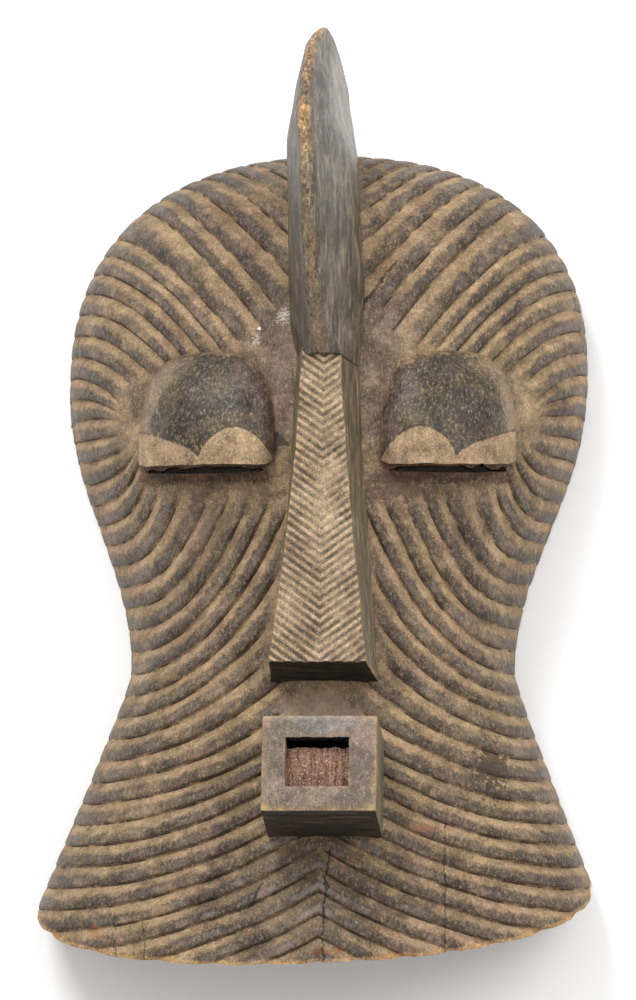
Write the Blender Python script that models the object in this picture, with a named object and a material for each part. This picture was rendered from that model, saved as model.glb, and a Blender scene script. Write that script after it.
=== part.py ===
# Carved wooden kifwebe mask, lying face up on the rim of its hollow back.
# X runs to the viewer's right, Y from the chin to the crest, Z out of the face; metres.
# The whole mask is cut from one block, so it is one object.

import math

import bmesh
import bpy
from mathutils import Matrix, Vector

# Outline of the rim, seen from the front
head_top = 0.228
head_half_width = 0.1565
widest_level = 0.092
head_squareness = 2.4
waist_half_width = 0.1138
waist_level = -0.088
waist_fullness = 1.05
jaw_flare = 0.385
jaw_flare_rounding = 0.005

# Rise of the face above the rim
forehead_height = 0.120
forehead_level = 0.060
chin_height = 0.098
chin_level = -0.285
section_roundness = 2.25
crown_roundness = 2.3
face_lean = 0.079

# Chin cut and hollow
chin_cut_level = -0.2865
chin_cut_slope = 0.75
chin_cut_slant = 0.045
chin_cutter_size = 0.6
wall = 0.013
rim_wall = 0.012
thinnest_hollow_share = 0.3
hollow_turns = 14
# Distances below the top of the hollow at which its sections are cut
hollow_stations = (0.0004, 0.003, 0.008, 0.017, 0.031, 0.055, 0.090, 0.130, 0.180, 0.230,
                   0.280, 0.330, 0.380, 0.430, 0.480, 0.572)

# Carved grooves
groove_pitch = 0.0136
groove_depth = 0.0021
rim_groove_share = 0.30
groove_lift = 0.29
first_groove_half_width = 0.0307
crown_groove_ends = (0.209, 0.192, 0.174, 0.153, 0.130, 0.101, 0.070, 0.048)
last_groove = -0.322
least_groove_gap = 0.0006
ridge_rows = ((0.0, 1.0), (0.36, 0.0), (0.78, 0.06))

# How far each groove climbs towards the middle, by the level where it leaves the rim
groove_climb = (
    (0.236, -0.030), (0.222, -0.085), (0.199, -0.138), (0.165, -0.200), (0.135, -0.243),
    (0.112, -0.320), (0.094, -0.520), (0.080, -0.300), (0.066, 0.000), (0.052, 0.110),
    (0.040, 0.262), (0.017, 0.520), (0.001, 0.523), (-0.012, 0.473), (-0.026, 0.315),
    (-0.037, 0.230), (-0.064, 0.181), (-0.110, 0.116), (-0.146, 0.068), (-0.165, 0.055),
    (-0.330, 0.050),
)

# Plain areas that the grooves stop at
centre_strip = 0.010
lip_strip = 0.018
lip_strip_top = -0.118
lip_strip_bottom = -0.162
chevrons_from = -0.170
brow_plain_top = 0.100
brow_plain_inner = 0.020
brow_plain_spread = 0.62
brow_line_inner = (0.031, 0.077)
brow_line_outer = (0.101, 0.060)
eye_corner = (0.107, 0.044)
eye_corner_reach = (0.015, 0.019)
eye_plain_half_width = 0.038
nose_strip = 0.018
nose_strip_spread = 0.13
cheek_line_inner = (0.028, -0.0145)
cheek_line_outer = (0.0875, -0.0008)
under_eye_plain = 0.013

# Eyelids and the slits under them
eye_centre = 0.0705
eye_half_width = 0.0400
eye_rise = 0.069
eye_line = 0.037
eye_bulge = 0.024
eye_bulge_roundness = 2.4
eye_sink = 0.001
eye_squareness = 3.2
eye_rooting = 0.010
slit_half_width = 0.034
slit_height = 0.0052
slit_drop = 0.0008

# Nose
nose_top = 0.066
nose_bottom = -0.1215
nose_left_top = 0.0124
nose_left_bottom = 0.0288
nose_right_top = 0.0084
nose_right_bottom = 0.0270
nose_top_height = 0.1425
nose_bottom_height = 0.1390
nose_offset = 0.0085
nose_left_draft_top = 0.0150
nose_left_draft_bottom = 0.0026
nose_right_draft_top = 0.0270
nose_right_draft_bottom = 0.0090
nose_under_slant = 0.0050
nose_rooting = 0.030
chevron_pitch = 0.0052
chevron_depth = 0.0010
chevron_slope = 0.74
chevron_spread = 1.3

# Mouth
mouth_top = -0.1560
mouth_bottom = -0.2115
mouth_half_width = 0.0325
mouth_height = 0.1505
mouth_offset = 0.0105
mouth_under_slant = 0.0040
mouth_rooting = 0.040
mouth_draft = 0.0015
recess_half_width = 0.0179
recess_top = -0.1688
recess_bottom = -0.1972
recess_depth = 0.0085
recess_offset = 0.0094
lip_slit_height = 0.0050
lip_slit_inset = 0.0005

# Crest
crest_front = 0.061
crest_tip = 0.2755
crest_peak_level = 0.165
crest_peak_height = 0.187
crest_front_height = 0.147
crest_tip_height = 0.105
crest_back_level = 0.226
crest_half_width = 0.0172
crest_front_half_width = 0.0195
crest_ridge_half_width = 0.0050
# Sideways run of the ridge, by level from its tip down to the nose
crest_ridge_path = ((0.2755, 0.0048), (0.250, -0.0010), (0.200, -0.0036), (0.165, -0.0012),
                    (0.115, 0.0016), (0.085, 0.0036), (0.061, 0.0066))
crest_lean = 0.02
crest_right_swell = 0.45
crest_swell_level = 0.180
crest_swell_end = 0.240
crest_root = 0.070
crest_taper_level = 0.215
crest_taper_power = 1.3
crest_tip_flat = 0.0004
crest_least_back = 0.3
crest_ridge_share = 0.35
crest_ridge_rounding = ((0.0, 0.0), (0.6, 0.02), (1.0, 0.10))
crest_side_shares = (0.40, 0.75, 1.0)
# How full the sides are below and above the head of the crest
crest_side_power = 1.5
crest_head_side_power = 2.6
crest_head_start = 0.170
crest_head_end = 0.220
crest_back_shares = (0.5, 0.85, 1.0)

# Fineness of the carved surface
side_columns = 7
middle_columns = 6
normal_step = 0.0005
search_steps = 40
rim_steps = 2000
reach_steps = 400
eyelid_turns = 12
eyelid_rings = (0.0, 0.35, 0.6, 0.8, 0.93, 1.0)
crest_front_steps = 5
crest_back_steps = 10

cutter_collection_name = "cutters"
mask_collection_name = "kifwebe_mask"


def clear_scene():
    for item in list(bpy.data.objects):
        bpy.data.objects.remove(item, do_unlink=True)


def new_collection(name):
    collection = bpy.data.collections.new(name)
    bpy.context.scene.collection.children.link(collection)
    return collection


def make_object(name, bm, collection):
    bmesh.ops.recalc_face_normals(bm, faces=bm.faces)
    mesh = bpy.data.meshes.new(name)
    bm.to_mesh(mesh)
    bm.free()
    item = bpy.data.objects.new(name, mesh)
    collection.objects.link(item)
    return item


def make_helper(name, bm, cutters):
    item = make_object(name, bm, cutters)
    item.hide_render = True
    item.display_type = "WIRE"
    return item


def apply_boolean(target, other, operation):
    modifier = target.modifiers.new(other.name, "BOOLEAN")
    modifier.operation = operation
    modifier.solver = "EXACT"
    modifier.object = other


def clamp(value, low, high):
    return max(low, min(high, value))


def interpolate(table, position):
    # The table runs from its highest position to its lowest.
    if position >= table[0][0]:
        return table[0][1]
    for (high, high_value), (low, low_value) in zip(table, table[1:]):
        if position >= low:
            share = (position - low) / (high - low)
            return low_value + (high_value - low_value) * share
    return table[-1][1]


# The smooth face under the carving

def half_width(level):
    if level > widest_level:
        share = min((level - widest_level) / (head_top - widest_level), 1.0)
        return head_half_width * (1 - share ** head_squareness) ** (1 / head_squareness)
    if level > waist_level:
        share = (widest_level - level) / (widest_level - waist_level)
        swing = (1 - math.cos(math.pi * share ** waist_fullness)) / 2
        return head_half_width + (waist_half_width - head_half_width) * swing
    spread = (waist_level - level) * jaw_flare
    return waist_half_width + math.hypot(spread, jaw_flare_rounding) - jaw_flare_rounding


def middle_height(level):
    fall = clamp((forehead_level - level) / (forehead_level - chin_level), 0.0, 1.2)
    height = forehead_height + (chin_height - forehead_height) * fall
    share = clamp((level - widest_level) / (head_top - widest_level), 0.0, 1.0)
    return height * (1 - share ** crown_roundness) ** (1 / crown_roundness)


def section_height(ratio):
    return (1 - min(abs(ratio), 1.0) ** section_roundness) ** (1 / section_roundness)


def face_height(x, level):
    return middle_height(level) * section_height(x / max(half_width(level), 1e-6))


def surface_point(x, level):
    z = face_height(x, level)
    return Vector((x + face_lean * z, level, z))


def surface_normal(x, level):
    step = normal_step
    across = surface_point(x + step, level) - surface_point(x - step, level)
    along = surface_point(x, level + step) - surface_point(x, level - step)
    return across.cross(along).normalized()


def level_for_lift(ratio, lifted):
    # The level at which level + groove_lift * height equals the lifted value.
    low = lifted - groove_lift * forehead_height
    high = min(lifted, head_top)
    rise = section_height(ratio)
    for _ in range(search_steps):
        middle = (low + high) / 2
        if middle + groove_lift * middle_height(middle) * rise > lifted:
            high = middle
        else:
            low = middle
    return (low + high) / 2


# The run of each groove

def rim_point(step):
    # Point on the rim of the right side, stepping down from the top of the head.
    if step < rim_steps:
        angle = math.pi / 2 * (1 - step / rim_steps)
        x = head_half_width * math.cos(angle) ** (2 / head_squareness)
        rise = (head_top - widest_level) * math.sin(angle) ** (2 / head_squareness)
        return x, widest_level + rise
    level = widest_level - (widest_level - last_groove) * (step / rim_steps - 1)
    return half_width(level), level


def rim_levels():
    # Levels at which grooves leave the rim, one pitch apart along it.
    levels = []
    run = 0.0
    last = rim_point(0)
    for step in range(1, 2 * rim_steps):
        x, level = rim_point(step)
        run += math.hypot(x - last[0], level - last[1])
        last = (x, level)
        if not levels and x >= first_groove_half_width:
            levels.append(level)
            run = 0.0
        if levels and run >= groove_pitch:
            levels.append(level)
            run -= groove_pitch
    return levels


def line_level(start, end, x):
    return start[1] + (end[1] - start[1]) * (x - start[0]) / (end[0] - start[0])


def is_plain(x, level):
    if x < centre_strip:
        return True
    if x < lip_strip and lip_strip_bottom < level < lip_strip_top:
        return True
    if lip_strip_top < level < 0 and x < nose_strip - nose_strip_spread * level:
        return True
    above_cheek = level > line_level(cheek_line_inner, cheek_line_outer, x)
    brow_edge = brow_plain_inner + brow_plain_spread * (brow_plain_top - level)
    if above_cheek and level < brow_plain_top and x < min(brow_edge, brow_line_inner[0]):
        return True
    corner_x = (x - eye_corner[0]) / eye_corner_reach[0]
    corner_level = (level - eye_corner[1]) / eye_corner_reach[1]
    if math.hypot(corner_x, corner_level) < 1:
        return True
    if above_cheek and x < cheek_line_outer[0]:
        return level < line_level(brow_line_inner, brow_line_outer, x)
    lifted = level + groove_lift * face_height(x, level) - eye_line
    across = abs(x - eye_centre) / eye_plain_half_width
    if lifted > 0:
        return level < line_level(brow_line_inner, brow_line_outer, x) and across < 1
    return math.hypot(across, lifted / under_eye_plain) < 1


def groove_plan(start_level, share_from_rim):
    lifted = start_level + interpolate(groove_climb, start_level) * share_from_rim ** 2
    ratio = 1 - share_from_rim
    level = level_for_lift(ratio, lifted)
    return ratio * half_width(level), level


def crown_plan(start_level, end_level, share):
    # Over the crown the grooves run straight from the rim to the crest.
    start = half_width(start_level)
    x = start + (centre_strip - start) * share
    return x, start_level + (end_level - start_level) * share


def reach_of(plan):
    # How far in from the rim a groove runs before it meets a plain area.
    for step in range(1, reach_steps):
        if is_plain(*plan(step / reach_steps)):
            return step / reach_steps
    return 1.0


def groove_points(index, level):
    # One groove on the right side, as (x, level) pairs from the rim inwards. The last
    # pair is where it crosses the middle: below the mouth both sides meet in a point.
    points = []
    if index < len(crown_groove_ends):
        end = crown_groove_ends[index]
        reach = reach_of(lambda share: crown_plan(level, end, share))
        for column in range(side_columns + 1):
            share = 1 - math.cos(math.pi / 2 * column / side_columns)
            points.append(crown_plan(level, end, share * reach))
    else:
        reach = reach_of(lambda share: groove_plan(level, share))
        end_angle = math.acos((1 - reach) ** (section_roundness / 2))
        for column in range(side_columns + 1):
            angle = end_angle * column / side_columns
            ratio = math.cos(angle) ** (2 / section_roundness)
            points.append(groove_plan(level, 1 - ratio))
    inner_level = points[-1][1]
    meets = inner_level < chevrons_from
    points.append((0.0, groove_plan(level, 1.0)[1] if meets else inner_level))
    return points


def blend_points(points, following, share):
    return [(x + (next_x - x) * share, level + (next_level - level) * share)
            for (x, level), (next_x, next_level) in zip(points, following)]


def full_row(points):
    # Left side, rung across the middle, right side.
    middle_level = points[-1][1]
    inner_x, inner_level = points[-2]
    row = [(-x, level) for x, level in points[:-1]]
    for column in range(1, middle_columns):
        across = 2 * column / middle_columns - 1
        level = middle_level + (inner_level - middle_level) * abs(across)
        row.append((inner_x * across, level))
    row.extend((x, level) for x, level in reversed(points[:-1]))
    return row


def kept_below(points, upper):
    # Every place of a groove stays at least a small gap below the groove above it.
    return [(x, min(level, upper_level - least_groove_gap))
            for (x, level), (_, upper_level) in zip(points, upper)]


def face_rows():
    grooves = [groove_points(index, level) for index, level in enumerate(rim_levels())]
    for index in range(1, len(grooves)):
        grooves[index] = kept_below(grooves[index], grooves[index - 1])
    rows = []
    for points, following in zip(grooves, grooves[1:]):
        for share, depth in ridge_rows:
            rows.append((full_row(blend_points(points, following, share)), depth))
    return rows


def head_arc(x):
    # Level of the rim over the top of the head.
    share = 1 - (abs(x) / head_half_width) ** head_squareness
    return widest_level + (head_top - widest_level) * share ** (1 / head_squareness)


def carved_blank(cutters):
    rows = face_rows()
    columns = len(rows[0][0])
    bm = bmesh.new()
    grid = []
    for row, depth in rows:
        line = []
        for column, (x, level) in enumerate(row):
            from_end = min(column, columns - 1 - column)
            point = surface_point(x, level)
            if from_end == 0:
                point = Vector((x, level, 0.0))
            elif from_end < side_columns or level < chevrons_from:
                shallow = min(rim_groove_share + from_end / side_columns, 1.0)
                point -= surface_normal(x, level) * groove_depth * depth * shallow
            line.append(bm.verts.new(point))
        grid.append(line)
    first, last = grid[0], grid[-1]
    half = first[-1].co.x
    arc = [bm.verts.new((x, head_arc(x), 0.0)) for x in
           (half * (2 * column / (columns - 1) - 1) for column in range(1, columns - 1))]
    feet = [bm.verts.new((vert.co.x, vert.co.y, 0.0)) for vert in last[1:-1]]
    for upper, lower in zip(grid, grid[1:]):
        for column in range(columns - 1):
            bm.faces.new((upper[column], upper[column + 1], lower[column + 1], lower[column]))
    for line, edge in ((first, arc), (last, feet)):
        bm.faces.new((line[0], line[1], edge[0]))
        bm.faces.new((line[-2], line[-1], edge[-1]))
        for column in range(1, columns - 2):
            bm.faces.new((line[column], line[column + 1], edge[column], edge[column - 1]))
    rim = [line[0] for line in grid] + feet
    rim += [line[-1] for line in reversed(grid)] + list(reversed(arc))
    bm.faces.new(rim)
    bmesh.ops.triangulate(bm, faces=bm.faces)
    return make_helper("carved_blank", bm, cutters)


# Pieces of the face that stand proud of the carving

def tapered_block(corner):
    # A cube whose corners are moved to where the corner function puts them.
    bm = bmesh.new()
    bmesh.ops.create_cube(bm, size=2.0)
    for vert in bm.verts:
        vert.co = corner(*(1 if part > 0 else -1 for part in vert.co))
    return bm


def nose_corner(side, end, front):
    top = end > 0
    if side > 0:
        half = nose_right_top if top else nose_right_bottom
        draft = nose_right_draft_top if top else nose_right_draft_bottom
    else:
        half = nose_left_top if top else nose_left_bottom
        draft = nose_left_draft_top if top else nose_left_draft_bottom
    height = nose_top_height if top else nose_bottom_height
    level = nose_top if top else nose_bottom
    x = side * half
    z = height + chevron_depth
    if front < 0:
        x += side * draft
        z = height - nose_bottom_height + face_height(0, nose_bottom) - nose_rooting
        level -= 0 if top else nose_under_slant
    return Vector((nose_offset + x, level, z))


def nose_front_height(level):
    share = (level - nose_bottom) / (nose_top - nose_bottom)
    return nose_bottom_height + (nose_top_height - nose_bottom_height) * share


def chevron_sheet():
    # A block whose front is folded into V-shaped ridges, points towards the mouth.
    half = nose_left_bottom * chevron_spread
    bm = bmesh.new()
    low = nose_bottom - chevron_slope * half - 2 * chevron_pitch
    count = int((nose_top - low) / chevron_pitch) + 2
    lines = []
    for step in range(2 * count + 1):
        level = low + step * chevron_pitch / 2
        cut = chevron_depth if step % 2 else 0.0
        line = []
        for side in (-1, 0, 1):
            y = level + abs(side) * half * chevron_slope
            line.append(Vector((nose_offset + side * half, y, nose_front_height(y) - cut)))
        lines.append(line)
    back = face_height(0, nose_bottom) - nose_rooting * 2
    for line in lines:
        fronts = [bm.verts.new(point) for point in line]
        backs = [bm.verts.new((point.x, point.y, back)) for point in line]
        line[:] = [fronts, backs]
    for (front, rear), (next_front, next_rear) in zip(lines, lines[1:]):
        for side in (0, 1):
            bm.faces.new((front[side], front[side + 1], next_front[side + 1], next_front[side]))
            bm.faces.new((rear[side], rear[side + 1], next_rear[side + 1], next_rear[side]))
        for side in (0, 2):
            bm.faces.new((front[side], rear[side], next_rear[side], next_front[side]))
    for front, rear in (lines[0], lines[-1]):
        for side in (0, 1):
            bm.faces.new((front[side], front[side + 1], rear[side + 1], rear[side]))
    return bm


def make_nose(cutters):
    nose = make_helper("nose", tapered_block(nose_corner), cutters)
    sheet = make_helper("nose_chevrons", chevron_sheet(), cutters)
    apply_boolean(nose, sheet, "INTERSECT")
    return nose


def mouth_corner(side, end, front):
    level = mouth_top if end > 0 else mouth_bottom
    x = side * mouth_half_width
    z = mouth_height
    if front < 0:
        x += mouth_draft if side > 0 else 0.0
        z = face_height(0, mouth_bottom) - mouth_rooting
        level -= 0 if end > 0 else mouth_under_slant
    return Vector((mouth_offset + x, level, z))


def make_mouth(cutters):
    return make_helper("mouth", tapered_block(mouth_corner), cutters)


def recess_corner(side, end, front):
    level = recess_top if end > 0 else recess_bottom
    z = mouth_height + recess_depth if front > 0 else mouth_height - recess_depth
    return Vector((recess_offset + side * recess_half_width, level, z))


def lip_slit_corner(side, end, front):
    top = recess_top - lip_slit_inset
    level = top if end > 0 else top - lip_slit_height
    z = mouth_height - recess_depth / 2 if front > 0 else chin_height - 3 * wall
    return Vector((recess_offset + side * (recess_half_width - lip_slit_inset), level, z))


def make_eyelid(side, cutters):
    # Half of a bulging cap, flat below, pushed out along the lifted direction.
    outwards = Vector((face_lean, -groove_lift, 1.0))
    bm = bmesh.new()

    def base_point(turn, ring):
        angle = math.pi * turn / eyelid_turns
        power = 2 / eye_squareness
        along = math.cos(angle)
        x = math.copysign(abs(along) ** power, along) * ring * eye_half_width
        rise = math.sin(angle) ** power * ring * eye_rise
        x = side * eye_centre + x
        lifted = eye_line + rise
        ratio = x / half_width(eye_line)
        for _ in range(search_steps):
            level = level_for_lift(ratio, lifted)
            ratio = x / half_width(level)
        return surface_point(x, level)

    def column(turn):
        fronts, backs = [], []
        for ring in eyelid_rings:
            point = base_point(turn, ring)
            bulge = eye_bulge * math.sqrt(1 - ring ** eye_bulge_roundness) - eye_sink
            fronts.append(bm.verts.new(point + outwards * bulge))
            backs.append(bm.verts.new(point - outwards * eye_rooting))
        return fronts, backs

    columns = [column(turn) for turn in range(eyelid_turns + 1)]
    centre_front, centre_back = columns[0][0][0], columns[0][1][0]
    for fronts, backs in columns[1:]:
        bm.verts.remove(fronts[0])
        bm.verts.remove(backs[0])
        fronts[0], backs[0] = centre_front, centre_back
    for (front, back), (next_front, next_back) in zip(columns, columns[1:]):
        bm.faces.new((front[0], front[1], next_front[1]))
        bm.faces.new((back[0], back[1], next_back[1]))
        for ring in range(1, len(eyelid_rings) - 1):
            bm.faces.new((front[ring], front[ring + 1], next_front[ring + 1], next_front[ring]))
            bm.faces.new((back[ring], back[ring + 1], next_back[ring + 1], next_back[ring]))
        bm.faces.new((front[-1], back[-1], next_back[-1], next_front[-1]))
    for front, back in (columns[0], columns[-1]):
        for ring in range(len(eyelid_rings) - 1):
            bm.faces.new((front[ring], front[ring + 1], back[ring + 1], back[ring]))
    name = "eyelid_left" if side < 0 else "eyelid_right"
    return make_helper(name, bm, cutters)


def slit_corner_for(side):
    def corner(across, end, front):
        x = side * eye_centre + across * slit_half_width
        lifted = eye_line - slit_drop - (0.0 if end > 0 else slit_height)
        z = forehead_height + wall if front > 0 else forehead_height / 3
        return Vector((x + face_lean * z, lifted - groove_lift * z, z))
    return corner


def quarter_round(share):
    # Falls from 1 to 0 along a quarter circle.
    return math.sqrt(max(1 - share ** 2, 0.0))


def crest_profile(level):
    # Front and back of the crest at one level.
    if level < crest_peak_level:
        share = (crest_peak_level - level) / (crest_peak_level - crest_front)
        front = crest_peak_height - (crest_peak_height - crest_front_height) * share ** 2
    else:
        share = (level - crest_peak_level) / (crest_tip - crest_peak_level)
        reach = crest_peak_height - crest_tip_height
        front = crest_tip_height + reach * quarter_round(share)
    if level < crest_back_level:
        return front, max(face_height(0, level) - crest_root, 0.0)
    share = (level - crest_back_level) / (crest_tip - crest_back_level)
    return front, crest_tip_height * (1 - quarter_round(share))


def crest_width(level):
    # Half width of the crest where it is widest, at one level.
    if level < crest_peak_level:
        share = (level - crest_front) / (crest_peak_level - crest_front)
        swing = (1 - math.cos(math.pi * share)) / 2
        return crest_front_half_width + (crest_half_width - crest_front_half_width) * swing
    share = max(level - crest_taper_level, 0.0) / (crest_tip - crest_taper_level)
    return crest_half_width * quarter_round(share) ** crest_taper_power


def crest_swell(level):
    # How much wider the right side of the crest is than its left side.
    share = clamp((crest_swell_end - level) / (crest_swell_end - crest_swell_level), 0.0, 1.0)
    return 1 + crest_right_swell * (1 - math.cos(math.pi * share)) / 2


def crest_section(level):
    # Half widths and heights from the ridge to the widest place and on to the back.
    front, back = crest_profile(level)
    wide = crest_width(level)
    base = min(face_height(0, level), (front + back) / 2)
    base = max(base, back + (front - back) * crest_least_back)
    narrow = min(crest_ridge_half_width, wide * crest_ridge_share)
    points = [(narrow * across, front + (base - front) * share)
              for across, share in crest_ridge_rounding]
    fullness = (level - crest_head_start) / (crest_head_end - crest_head_start)
    power = crest_side_power
    power += (crest_head_side_power - crest_side_power) * clamp(fullness, 0.0, 1.0)
    for share in crest_side_shares:
        half = narrow + (wide - narrow) * (1 - (1 - share) ** power)
        points.append((half, front + (base - front) * share))
    for share in crest_back_shares:
        points.append((wide * quarter_round(share), base + (back - base) * share))
    return points


def make_crest(cutters):
    rise = crest_peak_level - crest_front
    reach = crest_tip - crest_peak_level
    levels = [crest_front + rise * step / crest_front_steps
              for step in range(crest_front_steps)]
    levels += [crest_peak_level + reach * math.sin(math.pi / 2 * step / crest_back_steps)
               for step in range(crest_back_steps)]
    levels.append(crest_tip - crest_tip_flat)
    bm = bmesh.new()
    rings = []
    for level in levels:
        section = crest_section(level)
        swell = crest_swell(level)
        outline = [(half * swell, z) for half, z in section]
        outline += [(-half, z) for half, z in reversed(section[1:-1])]
        ridge = interpolate(crest_ridge_path, level)
        front = crest_profile(level)[0]
        ring = []
        for x, z in outline:
            centre = ridge + crest_lean * (front - z)
            ring.append(bm.verts.new((centre + x, level, z)))
        rings.append(ring)
    for ring, following in zip(rings, rings[1:]):
        for step in range(len(ring)):
            after = (step + 1) % len(ring)
            bm.faces.new((ring[step], ring[after], following[after], following[step]))
    bm.faces.new(rings[0])
    bm.faces.new(rings[-1])
    return make_helper("crest", bm, cutters)


# Hollow and cuts

def hollow_ring(level):
    # Section of the hollow at one level. It runs on below the rim to cut cleanly.
    outer = level
    if level > widest_level:
        outer += (level - widest_level) * rim_wall / (head_top - widest_level - rim_wall)
    half = half_width(outer) - rim_wall
    rise = max(middle_height(outer) - wall, middle_height(outer) * thinnest_hollow_share)
    ring = []
    for turn in range(hollow_turns + 1):
        angle = math.pi * turn / hollow_turns
        along = math.cos(angle)
        x = -math.copysign(abs(along) ** (2 / section_roundness), along) * half
        z = math.sin(angle) ** (2 / section_roundness) * rise
        if turn in (0, hollow_turns):
            z = -wall
        ring.append(Vector((x + face_lean * z, level, z)))
    return ring


def make_hollow(cutters):
    bm = bmesh.new()
    rings = []
    for depth in hollow_stations:
        rings.append([bm.verts.new(point) for point in hollow_ring(head_top - rim_wall - depth)])
    for ring, following in zip(rings, rings[1:]):
        for step in range(hollow_turns):
            bm.faces.new((ring[step], ring[step + 1], following[step + 1], following[step]))
        bm.faces.new((ring[-1], ring[0], following[0], following[-1]))
    bm.faces.new(rings[0])
    bm.faces.new(rings[-1])
    return make_helper("hollow", bm, cutters)


def make_chin_cutter(cutters):
    bm = bmesh.new()
    bmesh.ops.create_cube(bm, size=chin_cutter_size)
    bmesh.ops.translate(bm, verts=bm.verts, vec=(0.0, -chin_cutter_size / 2, 0.0))
    tilt = Matrix.Rotation(math.atan(chin_cut_slope), 4, "X")
    slant = Matrix.Rotation(math.atan(chin_cut_slant), 4, "Z")
    place = Matrix.Translation((0.0, chin_cut_level, chin_height))
    bmesh.ops.transform(bm, matrix=place @ slant @ tilt, verts=bm.verts)
    return make_helper("chin_cut", bm, cutters)


def wood_material():
    material = bpy.data.materials.new("carved_wood")
    material.use_nodes = True
    shader = material.node_tree.nodes["Principled BSDF"]
    shader.inputs["Base Color"].default_value = (0.16, 0.12, 0.085, 1.0)
    shader.inputs["Roughness"].default_value = 0.6
    shader.inputs["Metallic"].default_value = 0.0
    return material


def centre_on_origin(item):
    # Origin under the middle of the mask, on the surface that its rim rests on.
    bpy.context.view_layer.update()
    graph = bpy.context.evaluated_depsgraph_get()
    mesh = bpy.data.meshes.new_from_object(item.evaluated_get(graph))
    xs = [vert.co.x for vert in mesh.vertices]
    ys = [vert.co.y for vert in mesh.vertices]
    item.location = (-(min(xs) + max(xs)) / 2, -(min(ys) + max(ys)) / 2, 0.0)
    bpy.data.meshes.remove(mesh)


def main():
    clear_scene()
    parts = new_collection(mask_collection_name)
    cutters = new_collection(cutter_collection_name)
    blank = carved_blank(cutters)
    raised = [make_crest(cutters), make_nose(cutters), make_mouth(cutters),
              make_eyelid(-1, cutters), make_eyelid(1, cutters)]
    removed = [make_hollow(cutters), make_chin_cutter(cutters)]
    removed.append(make_helper("mouth_recess", tapered_block(recess_corner), cutters))
    removed.append(make_helper("mouth_slit", tapered_block(lip_slit_corner), cutters))
    for side in (-1, 1):
        name = "eye_slit_left" if side < 0 else "eye_slit_right"
        removed.append(make_helper(name, tapered_block(slit_corner_for(side)), cutters))
    mask = bpy.data.objects.new("mask", blank.data.copy())
    parts.objects.link(mask)
    mask.data.materials.append(wood_material())
    for item in raised:
        apply_boolean(mask, item, "UNION")
    for item in removed:
        apply_boolean(mask, item, "DIFFERENCE")
    for item in cutters.objects:
        item.parent = mask
    centre_on_origin(mask)


main()
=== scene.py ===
# Carved wooden kifwebe mask lying on the flat rim of its hollow back.
# All sizes are in metres. The part's frame has +Y towards the crest and +Z out of the face.
import math
import bmesh
import bpy
import numpy as np
from mathutils import Matrix, Vector, kdtree, noise
from mathutils.bvhtree import BVHTree


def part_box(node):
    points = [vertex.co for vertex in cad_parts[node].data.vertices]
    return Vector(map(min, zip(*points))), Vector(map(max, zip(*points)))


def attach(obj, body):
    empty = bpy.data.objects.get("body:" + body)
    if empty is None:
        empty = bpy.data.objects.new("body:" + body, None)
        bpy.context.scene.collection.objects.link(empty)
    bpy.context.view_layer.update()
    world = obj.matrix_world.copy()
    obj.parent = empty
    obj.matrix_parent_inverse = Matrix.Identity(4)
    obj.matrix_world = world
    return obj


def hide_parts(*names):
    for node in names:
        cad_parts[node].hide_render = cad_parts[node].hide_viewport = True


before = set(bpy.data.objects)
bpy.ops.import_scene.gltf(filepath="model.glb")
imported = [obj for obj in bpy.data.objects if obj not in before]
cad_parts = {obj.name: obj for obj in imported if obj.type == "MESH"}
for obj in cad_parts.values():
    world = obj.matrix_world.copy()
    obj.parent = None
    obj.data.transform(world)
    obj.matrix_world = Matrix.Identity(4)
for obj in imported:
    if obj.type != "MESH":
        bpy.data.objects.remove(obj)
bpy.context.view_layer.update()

print("frame loaded")

# Form of the face

face = {
    "headTop": 0.228,
    "headHalfWidth": 0.1565,
    "widestLevel": 0.092,
    "headSquareness": 2.4,
    "waistHalfWidth": 0.1138,
    "waistLevel": -0.088,
    "waistFullness": 1.05,
    "jawFlare": 0.385,
    "jawFlareRounding": 0.005,
    "foreheadHeight": 0.120,
    "foreheadLevel": 0.060,
    "chinHeight": 0.098,
    "chinLevel": -0.285,
    "sectionRoundness": 2.25,
    "crownRoundness": 2.3,
    "lean": 0.079,
}


def halfWidth(level):
    level = np.asarray(level, float)
    above = np.clip((level - face["widestLevel"]) / (face["headTop"] - face["widestLevel"]), 0, 1)
    square = face["headSquareness"]
    head = face["headHalfWidth"] * (1 - above ** square) ** (1 / square)
    share = np.clip((face["widestLevel"] - level) / (face["widestLevel"] - face["waistLevel"]), 0, 1)
    swing = (1 - np.cos(np.pi * share ** face["waistFullness"])) / 2
    neck = face["headHalfWidth"] + (face["waistHalfWidth"] - face["headHalfWidth"]) * swing
    spread = np.maximum(face["waistLevel"] - level, 0) * face["jawFlare"]
    jaw = face["waistHalfWidth"] + np.hypot(spread, face["jawFlareRounding"])
    jaw -= face["jawFlareRounding"]
    below = np.where(level > face["waistLevel"], neck, jaw)
    return np.where(level > face["widestLevel"], head, below)


def middleHeight(level):
    level = np.asarray(level, float)
    fall = (face["foreheadLevel"] - level) / (face["foreheadLevel"] - face["chinLevel"])
    fall = np.clip(fall, 0.0, 1.2)
    height = face["foreheadHeight"] + (face["chinHeight"] - face["foreheadHeight"]) * fall
    share = (level - face["widestLevel"]) / (face["headTop"] - face["widestLevel"])
    share = np.clip(share, 0.0, 1.0)
    return height * (1 - share ** face["crownRoundness"]) ** (1 / face["crownRoundness"])


def sectionHeight(ratio):
    power = face["sectionRoundness"]
    return (1 - np.minimum(np.abs(ratio), 1.0) ** power) ** (1 / power)


def faceHeight(x, level):
    return middleHeight(level) * sectionHeight(x / np.maximum(halfWidth(level), 1e-6))


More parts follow.
